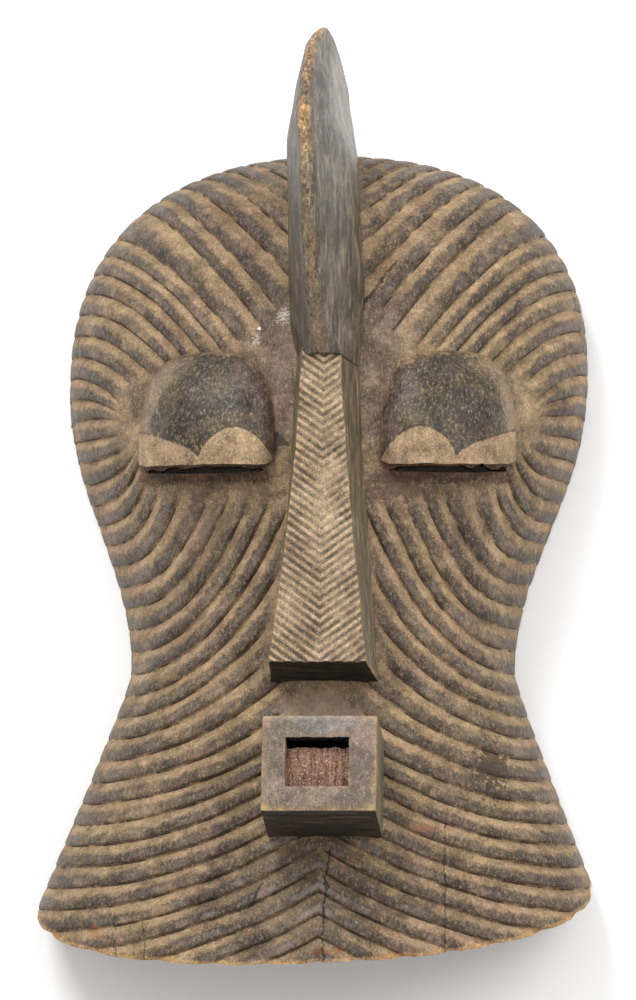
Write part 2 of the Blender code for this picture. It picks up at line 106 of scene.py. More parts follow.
def facePoint(x, level):
    x, level = np.broadcast_arrays(np.asarray(x, float), np.asarray(level, float))
    z = faceHeight(x, level)
    return np.stack([x + face["lean"] * z, level, z], axis=-1)


searchSteps = 30             # halvings of the range in the search below


def levelForLift(ratio, lifted):
    # The level at which level + lift * height equals the lifted value.
    low = lifted - grooves["lift"] * face["foreheadHeight"]
    high = np.minimum(lifted, face["headTop"])
    rise = sectionHeight(ratio)
    for _ in range(searchSteps):
        middle = (low + high) / 2
        tooHigh = middle + grooves["lift"] * middleHeight(middle) * rise > lifted
        high = np.where(tooHigh, middle, high)
        low = np.where(tooHigh, low, middle)
    return (low + high) / 2


# Run of the grooves over the face

grooves = {
    "pitch": 0.0136,
    "depth": 0.0021,
    "rimShare": 0.20,        # depth of the grooves at the rim, against the middle
    "lift": 0.29,
    "firstHalfWidth": 0.0307,
    "crownEnds": (0.209, 0.192, 0.174, 0.153, 0.130, 0.101, 0.070, 0.048),
    "last": -0.322,
    "climb": (
        (0.236, -0.030), (0.222, -0.085), (0.199, -0.138), (0.165, -0.200), (0.135, -0.243),
        (0.112, -0.320), (0.094, -0.520), (0.080, -0.300), (0.066, 0.000), (0.052, 0.110),
        (0.040, 0.262), (0.017, 0.520), (0.001, 0.523), (-0.012, 0.473), (-0.026, 0.315),
        (-0.037, 0.230), (-0.064, 0.181), (-0.110, 0.116), (-0.146, 0.068), (-0.165, 0.055),
        (-0.330, 0.050),
    ),
    "slopeEnd": 0.44,        # share of the pitch that the tan slope takes
    "cutStart": 0.90,        # where the steep lower side of each ridge begins
    "crownDrop": 0.16,       # how much of the depth each ridge is rounded by
    "crownMiddle": 0.66,
    "crownHalfLength": 0.3,
    "fadeLength": 0.012,
    "rimReach": 0.5,         # share of the way in at which the full depth is reached
    "wobble": 0.0011,
    "wobbleScale": 26.0,
    "vary": 18.0,            # scale of the slow change in width and depth
    "slopeVary": 0.08,
    "cutVary": 0.03,
    "depthVary": 0.35,
    "chips": (210.0, 0.0004),        # scale and depth
    "dents": (75.0, 0.0005),
    "chevronsFrom": -0.170,
    "samples": 10,           # rows for each groove
    "sideColumns": 60,
    "middleColumns": 20,
    "capRows": 8,            # rows of the smooth crown above the first groove
    "rimSteps": 2000,
    "reachSteps": 800,
}

plain = {
    "centreStrip": 0.010,
    "lipStrip": 0.018,
    "lipTop": -0.118,
    "lipBottom": -0.162,
    "browTop": 0.100,
    "browInner": 0.020,
    "browSpread": 0.62,
    "browLineInner": (0.031, 0.077),
    "browLineOuter": (0.101, 0.060),
    "eyeCorner": (0.107, 0.044),
    "eyeCornerReach": (0.015, 0.019),
    "eyeHalfWidth": 0.038,
    "noseStrip": 0.018,
    "noseSpread": 0.13,
    "cheekInner": (0.028, -0.0145),
    "cheekOuter": (0.0875, -0.0008),
    "underEye": 0.013,
}


def rimPoint(step, steps):
    if step < steps:
        angle = math.pi / 2 * (1 - step / steps)
        power = 2 / face["headSquareness"]
        rise = (face["headTop"] - face["widestLevel"]) * math.sin(angle) ** power
        return face["headHalfWidth"] * math.cos(angle) ** power, face["widestLevel"] + rise
    level = face["widestLevel"] - (face["widestLevel"] - grooves["last"]) * (step / steps - 1)
    return float(halfWidth(level)), level


def rimLevels():
    # Levels at which grooves leave the rim, one pitch apart along it.
    steps = grooves["rimSteps"]
    levels = []
    run = 0.0
    last = rimPoint(0, steps)
    for step in range(1, 2 * steps):
        x, level = rimPoint(step, steps)
        run += math.hypot(x - last[0], level - last[1])
        last = (x, level)
        if not levels and x >= grooves["firstHalfWidth"]:
            levels.append(level)
            run = 0.0
        if levels and run >= grooves["pitch"]:
            levels.append(level)
            run -= grooves["pitch"]
    return levels


def lineLevel(start, end, x):
    return start[1] + (end[1] - start[1]) * (x - start[0]) / (end[0] - start[0])


def isPlain(x, level):
    # Areas that the grooves stop at, for points on the right side.
    result = x < plain["centreStrip"]
    lip = (level > plain["lipBottom"]) & (level < plain["lipTop"])
    result |= (x < plain["lipStrip"]) & lip
    noseSide = (level > plain["lipTop"]) & (level < 0)
    result |= noseSide & (x < plain["noseStrip"] - plain["noseSpread"] * level)
    aboveCheek = level > lineLevel(plain["cheekInner"], plain["cheekOuter"], x)
    browEdge = plain["browInner"] + plain["browSpread"] * (plain["browTop"] - level)
    browEdge = np.minimum(browEdge, plain["browLineInner"][0])
    result |= aboveCheek & (level < plain["browTop"]) & (x < browEdge)
    cornerX = (x - plain["eyeCorner"][0]) / plain["eyeCornerReach"][0]
    cornerLevel = (level - plain["eyeCorner"][1]) / plain["eyeCornerReach"][1]
    result |= np.hypot(cornerX, cornerLevel) < 1
    underBrow = level < lineLevel(plain["browLineInner"], plain["browLineOuter"], x)
    inner = x < plain["cheekOuter"][0]
    result |= aboveCheek & inner & underBrow
    lifted = level + grooves["lift"] * faceHeight(x, level) - eyelids["line"]
    across = np.abs(x - eyelids["centre"]) / plain["eyeHalfWidth"]
    outerEye = ~(aboveCheek & inner)
    result |= outerEye & (lifted > 0) & underBrow & (across < 1)
    result |= outerEye & (lifted <= 0) & (np.hypot(across, lifted / plain["underEye"]) < 1)
    return result


def groovePlan(startLevel, share):
    table = grooves["climb"][::-1]
    climb = np.interp(startLevel, [row[0] for row in table], [row[1] for row in table])
    ratio = 1 - share
    level = levelForLift(ratio, startLevel + climb * share ** 2)
    return ratio * halfWidth(level), level


def crownPlan(startLevel, endLevel, share):
    start = halfWidth(startLevel)
    x = start + (plain["centreStrip"] - start) * share
    return x, startLevel + (endLevel - startLevel) * share


def reachOf(plan):
    # How far in a groove runs before it meets a plain area.
    shares = np.arange(1, grooves["reachSteps"]) / grooves["reachSteps"]
    hits = np.nonzero(isPlain(*plan(shares)))[0]
    return shares[hits[0]] if len(hits) else 1.0


def groovePath(index, startLevel):
    # One groove on the right side: x and level from the rim inwards, then the level
    # where it crosses the middle and whether both sides meet there.
    columns = np.arange(grooves["sideColumns"] + 1) / grooves["sideColumns"]
    if index < len(grooves["crownEnds"]):
        end = grooves["crownEnds"][index]

        def plan(share):
            return crownPlan(startLevel, end, share)

        x, level = plan((1 - np.cos(np.pi / 2 * columns)) * reachOf(plan))
    else:
        def plan(share):
            return groovePlan(startLevel, share)

        endAngle = math.acos((1 - reachOf(plan)) ** (face["sectionRoundness"] / 2))
        ratio = np.cos(endAngle * columns) ** (2 / face["sectionRoundness"])
        x, level = plan(1 - ratio)
    meets = level[-1] < grooves["chevronsFrom"]
    middle = groovePlan(startLevel, np.array([1.0]))[1][0] if meets else level[-1]
    return x, level, middle, float(meets)


def smoothStep(value):
    value = np.clip(value, 0, 1)
    return value * value * (3 - 2 * value)


def noiseAt(points, scale, seed):
    # Noise at every point of an array of points, in the array's own layout.
    offset = Vector((seed * 7.13, seed * 3.71, seed * 5.37))
    values = [noise.noise(Vector(point) * scale + offset) for point in points.reshape(-1, 3)]
    return np.array(values).reshape(points.shape[:-1])


def grooveCut(phase, slope, start):
    # Depth of the carving across one pitch, from one groove's bottom to the next.
    rise = 1 - smoothStep(phase / slope)
    fall = smoothStep((phase - start) / (1 - start))
    crown = np.abs(phase - grooves["crownMiddle"]) / grooves["crownHalfLength"]
    crown = grooves["crownDrop"] * np.clip(crown, 0, 1) ** 2
    return np.maximum(np.maximum(rise, fall), crown * (phase > slope))


def carvedFace():
    # A sheet over the whole face, with rows along the grooves and columns across them.
    levels = rimLevels()
    paths = [groovePath(index, level) for index, level in enumerate(levels)]
    samples = grooves["samples"]
    middleCount = grooves["middleColumns"]
    across = 2 * np.arange(1, middleCount) / middleCount - 1
    xs, ys, counts, carved = [], [], [], []
    for index in range(len(paths) - 1):
        for sample in range(samples):
            share = sample / samples
            x, level, middle, meets = [
                a + (b - a) * share for a, b in zip(paths[index], paths[index + 1])]
            gap = np.hypot(np.diff(x), np.diff(level))
            fromEnd = np.append(np.cumsum(gap[::-1])[::-1], 0.0)
            fade = np.maximum(smoothStep(fromEnd / grooves["fadeLength"]), meets)
            row = level[-1] + (middle - level[-1]) * (1 - np.abs(across))
            xs.append(np.concatenate([-x, x[-1] * across, x[::-1]]))
            ys.append(np.concatenate([level, row, level[::-1]]))
            carved.append(np.concatenate([fade, np.full(middleCount - 1, meets), fade[::-1]]))
            counts.append(index + share)
    xs, ys, carved = np.array(xs), np.array(ys), np.array(carved)
    columns = xs.shape[1]
    fromSide = np.minimum(np.arange(columns), np.arange(columns)[::-1])
    # Smooth crown above the first groove, from the rim's arc down to it.
    half = xs[0, -1]
    arcX = half * (2 * np.arange(columns) / (columns - 1) - 1)
    square = face["headSquareness"]
    arcY = (1 - (np.abs(arcX) / face["headHalfWidth"]) ** square) ** (1 / square)
    arcY = face["widestLevel"] + (face["headTop"] - face["widestLevel"]) * arcY
    capRows = grooves["capRows"]
    capShare = (np.arange(capRows) / capRows)[:, None]
    xs = np.vstack([arcX + (xs[0] - arcX) * capShare, xs])
    ys = np.vstack([arcY + (ys[0] - arcY) * capShare, ys])
    counts = np.concatenate([capShare[:, 0] - 1, counts])
    carved = np.vstack([np.zeros((capRows, columns)), carved])
    flat = facePoint(xs, ys)
    wander = noiseAt(flat, grooves["wobbleScale"], 1)
    free = (fromSide > 0) * (np.arange(len(ys)) > capRows)[:, None]
    ys = ys + wander * grooves["wobble"] * free
    points = facePoint(xs, ys)
    points[0, :, 2] = 0.0
    for side in (0, -1):
        points[:, side] = np.stack([xs[:, side], ys[:, side], np.zeros(len(xs))], axis=-1)
    normals = np.cross(np.gradient(points, axis=0), np.gradient(points, axis=1))
    length = np.linalg.norm(normals, axis=-1, keepdims=True)
    normals /= np.maximum(length, 1e-9)
    phase = np.mod(counts, 1.0)[:, None]
    vary = noiseAt(flat, grooves["vary"], 2)
    slope = grooves["slopeEnd"] + grooves["slopeVary"] * vary
    depth = grooveCut(phase, slope, grooves["cutStart"] + grooves["cutVary"] * vary)
    deepening = smoothStep(fromSide / grooves["sideColumns"] / grooves["rimReach"])
    shallow = grooves["rimShare"] + (1 - grooves["rimShare"]) * deepening
    depth = depth * carved * shallow * grooves["depth"] * (1 + grooves["depthVary"] * vary)
    for seed, (scale, most) in ((3, grooves["chips"]), (4, grooves["dents"])):
        depth = depth + most * np.maximum(noiseAt(flat, scale, seed), 0)
    push = -normals * depth[..., None]
    push[0] = 0.0
    push[:, [0, -1], 2] = 0.0
    return points + push, np.broadcast_to(counts[:, None], xs.shape), carved


def meshFrom(name, points, faces):
    mesh = bpy.data.meshes.new(name)
    mesh.from_pydata([tuple(point) for point in points], [], faces)
    mesh.update()
    return mesh


def sheetFaces(rows, columns, start=0, wrap=False):
    # Four-sided faces between the points of a sheet, or of a tube when it wraps.
    faces = []
    last = columns if wrap else columns - 1
    for row in range(rows - 1):
        for column in range(last):
            a = start + row * columns + column
            b = start + row * columns + (column + 1) % columns
            faces.append((a, b, b + columns, a + columns))
    return faces


def closedObject(name, mesh):
    # Welds a mesh, closes its ends, turns its faces outwards and puts it in the scene.
    bm = bmesh.new()
    bm.from_mesh(mesh)
    bmesh.ops.remove_doubles(bm, verts=bm.verts, dist=1e-6)
    bmesh.ops.dissolve_degenerate(bm, edges=bm.edges, dist=1e-7)
    edges = [edge for edge in bm.edges if edge.is_boundary]
    bmesh.ops.holes_fill(bm, edges=edges, sides=0)
    bmesh.ops.triangulate(bm, faces=bm.faces)
    bmesh.ops.recalc_face_normals(bm, faces=bm.faces)
    openEdges = sum(1 for edge in bm.edges if len(edge.link_faces) != 2)
    bm.to_mesh(mesh)
    print(name, len(bm.faces), "triangles, open edges", openEdges)
    bm.free()
    item = bpy.data.objects.new(name, mesh)
    bpy.context.scene.collection.objects.link(item)
    return item


def makeBlank():
    # The solid under the carved sheet, down to the flat rim.
    points, counts, carved = carvedFace()
    rows, columns = counts.shape
    foot = points[-1, 1:-1].copy()
    foot[:, 2] = 0.0
    every = np.vstack([points.reshape(-1, 3), foot])
    faces = sheetFaces(rows, columns)
    lastRow = (rows - 1) * columns
    footStart = rows * columns
    for column in range(1, columns - 2):
        faces.append((lastRow + column, lastRow + column + 1, footStart + column,
                      footStart + column - 1))
    faces.append((lastRow, lastRow + 1, footStart))
    faces.append((lastRow + columns - 2, lastRow + columns - 1, footStart + columns - 3))
    item = closedObject("blank", meshFrom("blank", every, faces))
    return item, points.reshape(-1, 3), counts.reshape(-1), carved.reshape(-1)


# Crest

crest = {
    "front": 0.061,
    "tip": 0.2755,
    "peakLevel": 0.165,
    "peakHeight": 0.187,
    "frontHeight": 0.147,
    "tipHeight": 0.105,
    "backLevel": 0.226,
    "halfWidth": 0.0172,
    "frontHalfWidth": 0.0195,
    "ridgeHalfWidth": 0.0050,
    "ridgePath": (
        (0.061, 0.0066), (0.085, 0.0036), (0.115, 0.0016), (0.165, -0.0012),
        (0.200, -0.0036), (0.250, -0.0010), (0.2755, 0.0048),
    ),
    "lean": 0.02,
    "rightSwell": 0.45,      # how much wider the right side is
    "swellLevel": 0.180,
    "swellEnd": 0.240,
    "frontEnd": 0.085,       # below this the ridge spreads to the nose's width
    "frontLength": 0.024,
    "frontSpread": 0.0040,
    "frontTuck": 0.06,
    "frontFlat": 0.45,       # and its sides flatten to the nose's sides
    "root": 0.070,
    "taperLevel": 0.215,
    "taperPower": 1.3,
    "sidePower": 1.5,
    "headSidePower": 2.6,    # the sides are fuller towards the tip
    "headStart": 0.170,
    "headEnd": 0.220,
    "rounding": 0.10,        # share of the height that the rounded ridge takes
    "roughScale": 48.0,
    "roughSide": 0.0006,
    "roughFront": 0.0007,
    "chipScale": 170.0,
    "chipDepth": 0.0005,
    "levels": 96,
    "ridgeSteps": 6,
    "around": 30,
    "underSteps": 8,
}


def quarterRound(share):
    return np.sqrt(np.maximum(1 - share ** 2, 0.0))


def crestProfile(level):
    # Front and back of the crest at one level.
    if level < crest["peakLevel"]:
        share = (crest["peakLevel"] - level) / (crest["peakLevel"] - crest["front"])
        front = crest["peakHeight"] - (crest["peakHeight"] - crest["frontHeight"]) * share ** 2
    else:
        share = (level - crest["peakLevel"]) / (crest["tip"] - crest["peakLevel"])
        reach = crest["peakHeight"] - crest["tipHeight"]
        front = crest["tipHeight"] + reach * quarterRound(share)
    if level < crest["backLevel"]:
        return front, max(float(faceHeight(0.0, level)) - crest["root"], 0.0)
    share = (level - crest["backLevel"]) / (crest["tip"] - crest["backLevel"])
    return front, crest["tipHeight"] * (1 - quarterRound(share))


def crestWidth(level):
    if level < crest["peakLevel"]:
        share = (level - crest["front"]) / (crest["peakLevel"] - crest["front"])
        swing = (1 - math.cos(math.pi * share)) / 2
        return crest["frontHalfWidth"] + (crest["halfWidth"] - crest["frontHalfWidth"]) * swing
    share = max(level - crest["taperLevel"], 0.0) / (crest["tip"] - crest["taperLevel"])
    return crest["halfWidth"] * quarterRound(share) ** crest["taperPower"]


def nearNose(level):
    # Rises from 0 to 1 over the last part of the crest, where it meets the nose.
    return smoothStep((crest["frontEnd"] - level) / crest["frontLength"])


def crestSection(level):
    # The right half of one section, from the ridge round to the middle of the underside.
    front, back = crestProfile(level)
    wide = crestWidth(level)
    base = min(float(faceHeight(0.0, level)), (front + back) / 2)
    base = max(base, back + (front - back) * 0.3)
    narrow = min(crest["ridgeHalfWidth"], wide * 0.35)
    narrow += crest["frontSpread"] * nearNose(level)
    top = np.arange(crest["ridgeSteps"] + 1) / crest["ridgeSteps"]
    ridgeX = narrow * np.sin(top * math.pi / 2)
    ridgeZ = front - (front - base) * crest["rounding"] * (1 - np.cos(top * math.pi / 2))
    side = np.arange(1, crest["around"]) / (crest["around"] - 1)
    sideShare = crest["rounding"] + (1 - crest["rounding"]) * side
    fullness = (level - crest["headStart"]) / (crest["headEnd"] - crest["headStart"])
    reach = crest["headSidePower"] - crest["sidePower"]
    power = crest["sidePower"] + reach * min(max(fullness, 0.0), 1.0)
    power -= crest["frontFlat"] * nearNose(level)
    sideX = narrow + (wide - narrow) * (1 - (1 - side) ** power)
    sideZ = front + (base - front) * sideShare
    under = np.arange(1, crest["underSteps"] + 1) / crest["underSteps"]
    underX = wide * quarterRound(under)
    underZ = base + (back - base) * under
    return np.concatenate([ridgeX, sideX, underX]), np.concatenate([ridgeZ, sideZ, underZ])


def crestRidge(level):
    path = crest["ridgePath"]
    return np.interp(level, [row[0] for row in path], [row[1] for row in path])


def makeCrest():
    half = crest["levels"] // 2
    rise = np.arange(half) / half
    fall = np.sin(np.pi / 2 * np.arange(half) / half)
    levels = np.concatenate([
        crest["front"] + (crest["peakLevel"] - crest["front"]) * rise,
        crest["peakLevel"] + (crest["tip"] - crest["peakLevel"]) * fall,
        [crest["tip"] - 0.0004]])
    rings = []
    for level in levels:
        x, z = crestSection(level)
        share = (crest["swellEnd"] - level) / (crest["swellEnd"] - crest["swellLevel"])
        swell = 1 + crest["rightSwell"] * (1 - math.cos(math.pi * min(max(share, 0), 1))) / 2
        swell -= crest["frontTuck"] * nearNose(level)
        x = np.concatenate([x * swell, -x[-2:0:-1]])
        z = np.concatenate([z, z[-2:0:-1]])
        x = x + crestRidge(level) + crest["lean"] * (z[0] - z)
        rings.append(np.stack([x, np.full_like(x, level), z], axis=-1))
    rings = np.array(rings)
    rough = noiseAt(rings, crest["roughScale"], 6)
    chips = noiseAt(rings, crest["chipScale"], 7)
    rings[..., 0] += crest["roughSide"] * rough
    rings[..., 2] += crest["roughFront"] * (rough - 0.8) + crest["chipDepth"] * (chips - 0.8)
    faces = sheetFaces(len(rings), rings.shape[1], wrap=True)
    return closedObject("crest", meshFrom("crest", rings.reshape(-1, 3), faces))


# Nose

nose = {
    "top": 0.066,
    "bottom": -0.1215,
    "leftTop": 0.0124,       # distances from the nose's middle line to its edges
    "leftBottom": 0.0288,
    "rightTop": 0.0084,
    "rightBottom": 0.0270,
    "topHeight": 0.1425,
    "bottomHeight": 0.1390,
    "offset": 0.0085,
    "leftDraft": (0.0026, 0.0150),   # how far the sides spread, at the bottom and top
    "rightDraft": (0.0090, 0.0270),
    "leftHollow": 0.0024,            # how far the long edges curve inwards
    "rightHollow": 0.0016,
    "underSlant": 0.0050,
    "rooting": 0.030,
    "pitch": 0.0052,
    "depth": 0.0012,
    "slope": 0.74,
    "edge": 0.0014,
    "ridgeShare": 0.36,
    "cutPower": 0.7,
    "wearScale": 55.0,
    "wearPlace": (0.0125, -0.012),   # middle and reach of the most handled area
    "wearReach": (0.010, 0.045),
    "leastWear": 0.25,               # depth of the cuts that is always left
    "dents": (90.0, 0.0003),         # scale and depth
    "waver": 0.0005,                 # how far the rows of chevrons waver
    "sideLumps": ((95, 0.0005), (260, 0.0003)),
    "spare": 0.0005,                 # height of the block above the chevrons
    "rowsPerChevron": 6,
    "columns": 25,
    "cuts": 26,
}


def noseHeight(level):
    share = (level - nose["bottom"]) / (nose["top"] - nose["bottom"])
    return nose["bottomHeight"] + (nose["topHeight"] - nose["bottomHeight"]) * share


def addBoolean(base, other, operation):
    modifier = base.modifiers.new(other.name, "BOOLEAN")
    modifier.operation = operation
    modifier.solver = "MANIFOLD"
    modifier.object = other


def blockUnder(name, grid, floor):
    # A closed block between a grid of points and a flat base.
    rows, columns = grid.shape[:2]
    index = np.arange(rows * columns).reshape(rows, columns)
    loop = np.concatenate([index[0, :-1], index[:-1, -1], index[-1, :0:-1], index[:0:-1, 0]])
    points = grid.reshape(-1, 3)
    base = points[loop].copy()
    base[:, 2] = floor
    faces = sheetFaces(rows, columns)
    count = len(loop)
    for step in range(count):
        after = (step + 1) % count
        faces.append((loop[step], loop[after], rows * columns + after, rows * columns + step))
    return closedObject(name, meshFrom(name, np.vstack([points, base]), faces))


def chevronCut(x, level):
    # Depth of the nose's V-shaped cuts: 1 at the bottom of a cut, 0 on a ridge.
    along = level - np.abs(x - nose["offset"]) * nose["slope"]
    phase = np.mod(along / nose["pitch"], 1.0)
    share = np.clip((phase - nose["ridgeShare"]) / (1 - nose["ridgeShare"]), 0, 1)
    return np.sin(np.pi * share) ** nose["cutPower"]


def chevronWear(x, level):
    # 1 where the cuts are fresh, less where handling has rubbed them away.
    flat = np.stack([x, level, np.zeros_like(x)], axis=-1)
    rubbed = noiseAt(flat, nose["wearScale"], 8)
    place = np.hypot((x - nose["wearPlace"][0]) / nose["wearReach"][0],
                     (level - nose["wearPlace"][1]) / nose["wearReach"][1])
    fresh = 0.55 + 0.45 * smoothStep(place - 0.3) + 0.7 * rubbed
    return np.clip(fresh, nose["leastWear"], 1.0)


def makeNose():
    half = nose["leftBottom"] * 1.3
    low = nose["bottom"] - nose["slope"] * half - 2 * nose["pitch"]
    count = int((nose["top"] - low) / nose["pitch"]) + 2
    along = low + np.arange(count * nose["rowsPerChevron"]) * nose["pitch"] / nose["rowsPerChevron"]
    x = half * (2 * np.arange(nose["columns"]) / (nose["columns"] - 1) - 1)
    along, x = np.meshgrid(along, x, indexing="ij")
    level = along + np.abs(x) * nose["slope"]
    x = x + nose["offset"]
    cut = chevronCut(x, level) * chevronWear(x, level) * nose["depth"]
    wander = noiseAt(np.stack([x, level, cut], axis=-1), nose["dents"][0], 9)
    height = noseHeight(level) - cut + nose["dents"][1] * (wander - 0.6)
    sheet = np.stack([x, level + nose["waver"] * wander, height], axis=-1)
    root = float(faceHeight(0.0, nose["bottom"])) - nose["rooting"]
    chevrons = blockUnder("chevrons", sheet, root - 0.02)
    blockTop = nose["topHeight"] + nose["spare"]

    def warp(point):
        share = (point.y - nose["bottom"]) / (nose["top"] - nose["bottom"])
        depth = (blockTop - point.z) / (blockTop - root)
        across = (point.x - nose["offset"]) / nose["leftBottom"]
        side = "right" if across > 0 else "left"
        half = nose[side + "Bottom"] + (nose[side + "Top"] - nose[side + "Bottom"]) * share
        draft = nose[side + "Draft"]
        half += (draft[0] + (draft[1] - draft[0]) * share) * depth
        half -= nose[side + "Hollow"] * math.sin(math.pi * min(max(share, 0), 1))
        top = noseHeight(point.y) - nose["topHeight"]
        half += sum(most * noise.noise(point * scale) for scale, most in nose["sideLumps"])
        point.x = nose["offset"] + across * half
        point.y -= nose["underSlant"] * depth * (1 - share)
        point.z += top * (1 - depth)
        return point

    low = (nose["offset"] - nose["leftBottom"], nose["bottom"], root)
    high = (nose["offset"] + nose["leftBottom"], nose["top"], blockTop)
    block = roundedBlock("nose", low, high, nose["edge"], nose["cuts"], warp)
    addBoolean(block, chevrons, "INTERSECT")
    return block, chevrons


# Mouth

mouth = {
    "top": -0.1560,
    "bottom": -0.2115,
    "halfWidth": 0.0325,
    "height": 0.1505,
    "offset": 0.0105,
    "underSlant": 0.0040,
    "rooting": 0.040,
    "draft": 0.0015,
    "edge": 0.0016,
    "cuts": 26,
    "recessHalfWidth": 0.0179,
    "recessTop": -0.1688,
    "recessBottom": -0.1972,
    "recessDepth": 0.0085,
    "recessOffset": 0.0094,
    "recessEdge": 0.0004,
    "recessCuts": 20,
    "recessRough": ((190, 0.0004), (160, 0.0004)),   # scale and depth, across and up
    "floorRough": (900, 90, 0.0005),                 # scales across and up, depth
    "slitHeight": 0.0040,
    "slitBack": 0.059,
    "slitEdge": 0.0002,
    "slitCuts": 16,
    "slitRough": (240, 0.0012),
}


def roundedBlock(name, low, high, edge, cuts, warp):
    # A finely divided box with rounded edges, bent by the warp function.
    bm = bmesh.new()
    bmesh.ops.create_cube(bm, size=2.0)
    bmesh.ops.subdivide_edges(bm, edges=bm.edges, cuts=cuts, use_grid_fill=True)
    low, high = Vector(low), Vector(high)
    half = (high - low) / 2
    for vert in bm.verts:
        point = Vector([vert.co[i] * half[i] for i in range(3)])
        core = Vector([max(-half[i] + edge, min(half[i] - edge, point[i])) for i in range(3)])
        away = point - core
        if away.length > 0:
            point = core + away.normalized() * edge
        vert.co = warp(point + (low + high) / 2)
    mesh = bpy.data.meshes.new(name)
    bm.to_mesh(mesh)
    bm.free()
    return closedObject(name, mesh)


def makeMouth():
    root = float(faceHeight(0.0, mouth["bottom"])) - mouth["rooting"]

    def warp(point):
        depth = (mouth["height"] - point.z) / (mouth["height"] - root)
        low = (mouth["top"] - point.y) / (mouth["top"] - mouth["bottom"])
        point.y -= mouth["underSlant"] * depth * low
        point.x += mouth["draft"] * depth * (point.x > mouth["offset"])
        return point

    low = (mouth["offset"] - mouth["halfWidth"], mouth["bottom"], root)
    high = (mouth["offset"] + mouth["halfWidth"], mouth["top"], mouth["height"])
    return roundedBlock("mouth", low, high, mouth["edge"], mouth["cuts"], warp)


def makeRecess():
    low = (mouth["recessOffset"] - mouth["recessHalfWidth"], mouth["recessBottom"],
           mouth["height"] - mouth["recessDepth"])
    high = (mouth["recessOffset"] + mouth["recessHalfWidth"], mouth["recessTop"],
            mouth["height"] + mouth["recessDepth"])

    def warp(point):
        (sideScale, sideDepth), (upScale, upDepth) = mouth["recessRough"]
        acrossScale, alongScale, floorDepth = mouth["floorRough"]
        point.y += upDepth * noise.noise(point * upScale)
        point.x += sideDepth * noise.noise(point * sideScale)
        place = Vector((point.x * acrossScale, point.y * alongScale, 3.0))
        point.z += floorDepth * noise.noise(place)
        return point

    return roundedBlock("mouthRecess", low, high, mouth["recessEdge"], mouth["recessCuts"], warp)


def makeLipSlit():
    # The opening under the recess's upper edge, through to the hollow.
    top = mouth["recessTop"]
    low = (mouth["recessOffset"] - mouth["recessHalfWidth"], top - mouth["slitHeight"],
           mouth["slitBack"])
    high = (mouth["recessOffset"] + mouth["recessHalfWidth"], top,
            mouth["height"] - mouth["recessDepth"] / 2)

    def warp(point):
        if point.y < top - mouth["slitHeight"] / 2:
            scale, depth = mouth["slitRough"]
            point.y += depth * noise.noise(Vector((point.x * scale, 0.0, 5.0)))
        return point

    return roundedBlock("lipSlit", low, high, mouth["slitEdge"], mouth["slitCuts"], warp)


# Eyelids

eyelids = {
    "centre": 0.0705,
    "halfWidth": 0.0400,
    "rise": 0.069,
    "line": 0.037,
    "bulge": 0.024,
    "bulgeRoundness": 2.4,
    "sink": 0.001,
    "squareness": 3.2,
    "rooting": 0.010,
    "turns": 72,
    "rings": 26,
    "hemScale": 90,
    "hemWaver": 0.0009,
    "cornerRise": 0.0022,    # how far the hem lifts at its two ends
    "cornerStart": 0.86,
    "slitHalfWidth": 0.034,
    "slitHeight": 0.0046,
    "slitDrop": 0.0008,
    "slitDepths": (0.035, 0.145),
    "slitEdge": 0.0003,
    "slitCuts": 22,
    "slitRough": ((150, 0.0010), (500, 0.0004)),     # scale and depth
    "slitOpen": 0.85,        # share of the height that is open at the middle
    "slitTaper": 0.50,
    "leastOpen": 0.2,
}


def makeEyelid(side):
    # Half of a bulging cap, flat below, pushed out along the lifted direction.
    outwards = np.array([face["lean"], -grooves["lift"], 1.0])
    angle = np.pi * np.arange(eyelids["turns"] + 1) / eyelids["turns"]
    ring = np.sin(np.pi / 2 * np.arange(eyelids["rings"] + 1) / eyelids["rings"])
    angle, ring = np.meshgrid(angle, ring, indexing="ij")
    power = 2 / eyelids["squareness"]
    along = np.cos(angle)
    x = side * eyelids["centre"]
    x = x + np.sign(along) * np.abs(along) ** power * ring * eyelids["halfWidth"]
    rise = np.maximum(np.sin(angle), 0.0) ** power * ring * eyelids["rise"]
    share = rise / eyelids["rise"]
    hem = np.stack([x * eyelids["hemScale"], np.zeros_like(x), np.full_like(x, side)], axis=-1)
    hem = eyelids["hemWaver"] * (noiseAt(hem, 1.0, 10) - 0.5)
    fromMiddle = np.abs(x - side * eyelids["centre"]) / eyelids["halfWidth"]
    corner = smoothStep((fromMiddle - eyelids["cornerStart"]) / (1 - eyelids["cornerStart"]))
    hem = eyelids["cornerRise"] * corner + hem
    rise = rise + np.maximum(1 - share * 4, 0.0) * hem       # only in the lowest quarter
    lifted = eyelids["line"] + rise
    ratio = x / halfWidth(eyelids["line"])
    for _ in range(12):
        level = levelForLift(ratio, lifted)
        ratio = x / halfWidth(level)
    base = facePoint(x, level)
    bulge = eyelids["bulge"] * np.sqrt(np.maximum(1 - ring ** eyelids["bulgeRoundness"], 0))
    front = base + outwards * (bulge - eyelids["sink"])[..., None]
    back = base - outwards * eyelids["rooting"]
    turns, rings = angle.shape
    name = "eyelidLeft" if side < 0 else "eyelidRight"
    points = np.concatenate([front.reshape(-1, 3), back.reshape(-1, 3)])
    faces = sheetFaces(turns, rings) + sheetFaces(turns, rings, start=turns * rings)
    for turn in range(turns - 1):
        a, b = turn * rings + rings - 1, (turn + 1) * rings + rings - 1
        faces.append((a, b, b + turns * rings, a + turns * rings))
    for end in (0, turns - 1):
        for step in range(rings - 1):
            a = end * rings + step
            faces.append((a, a + 1, a + 1 + turns * rings, a + turns * rings))
    return closedObject(name, meshFrom(name, points, faces))


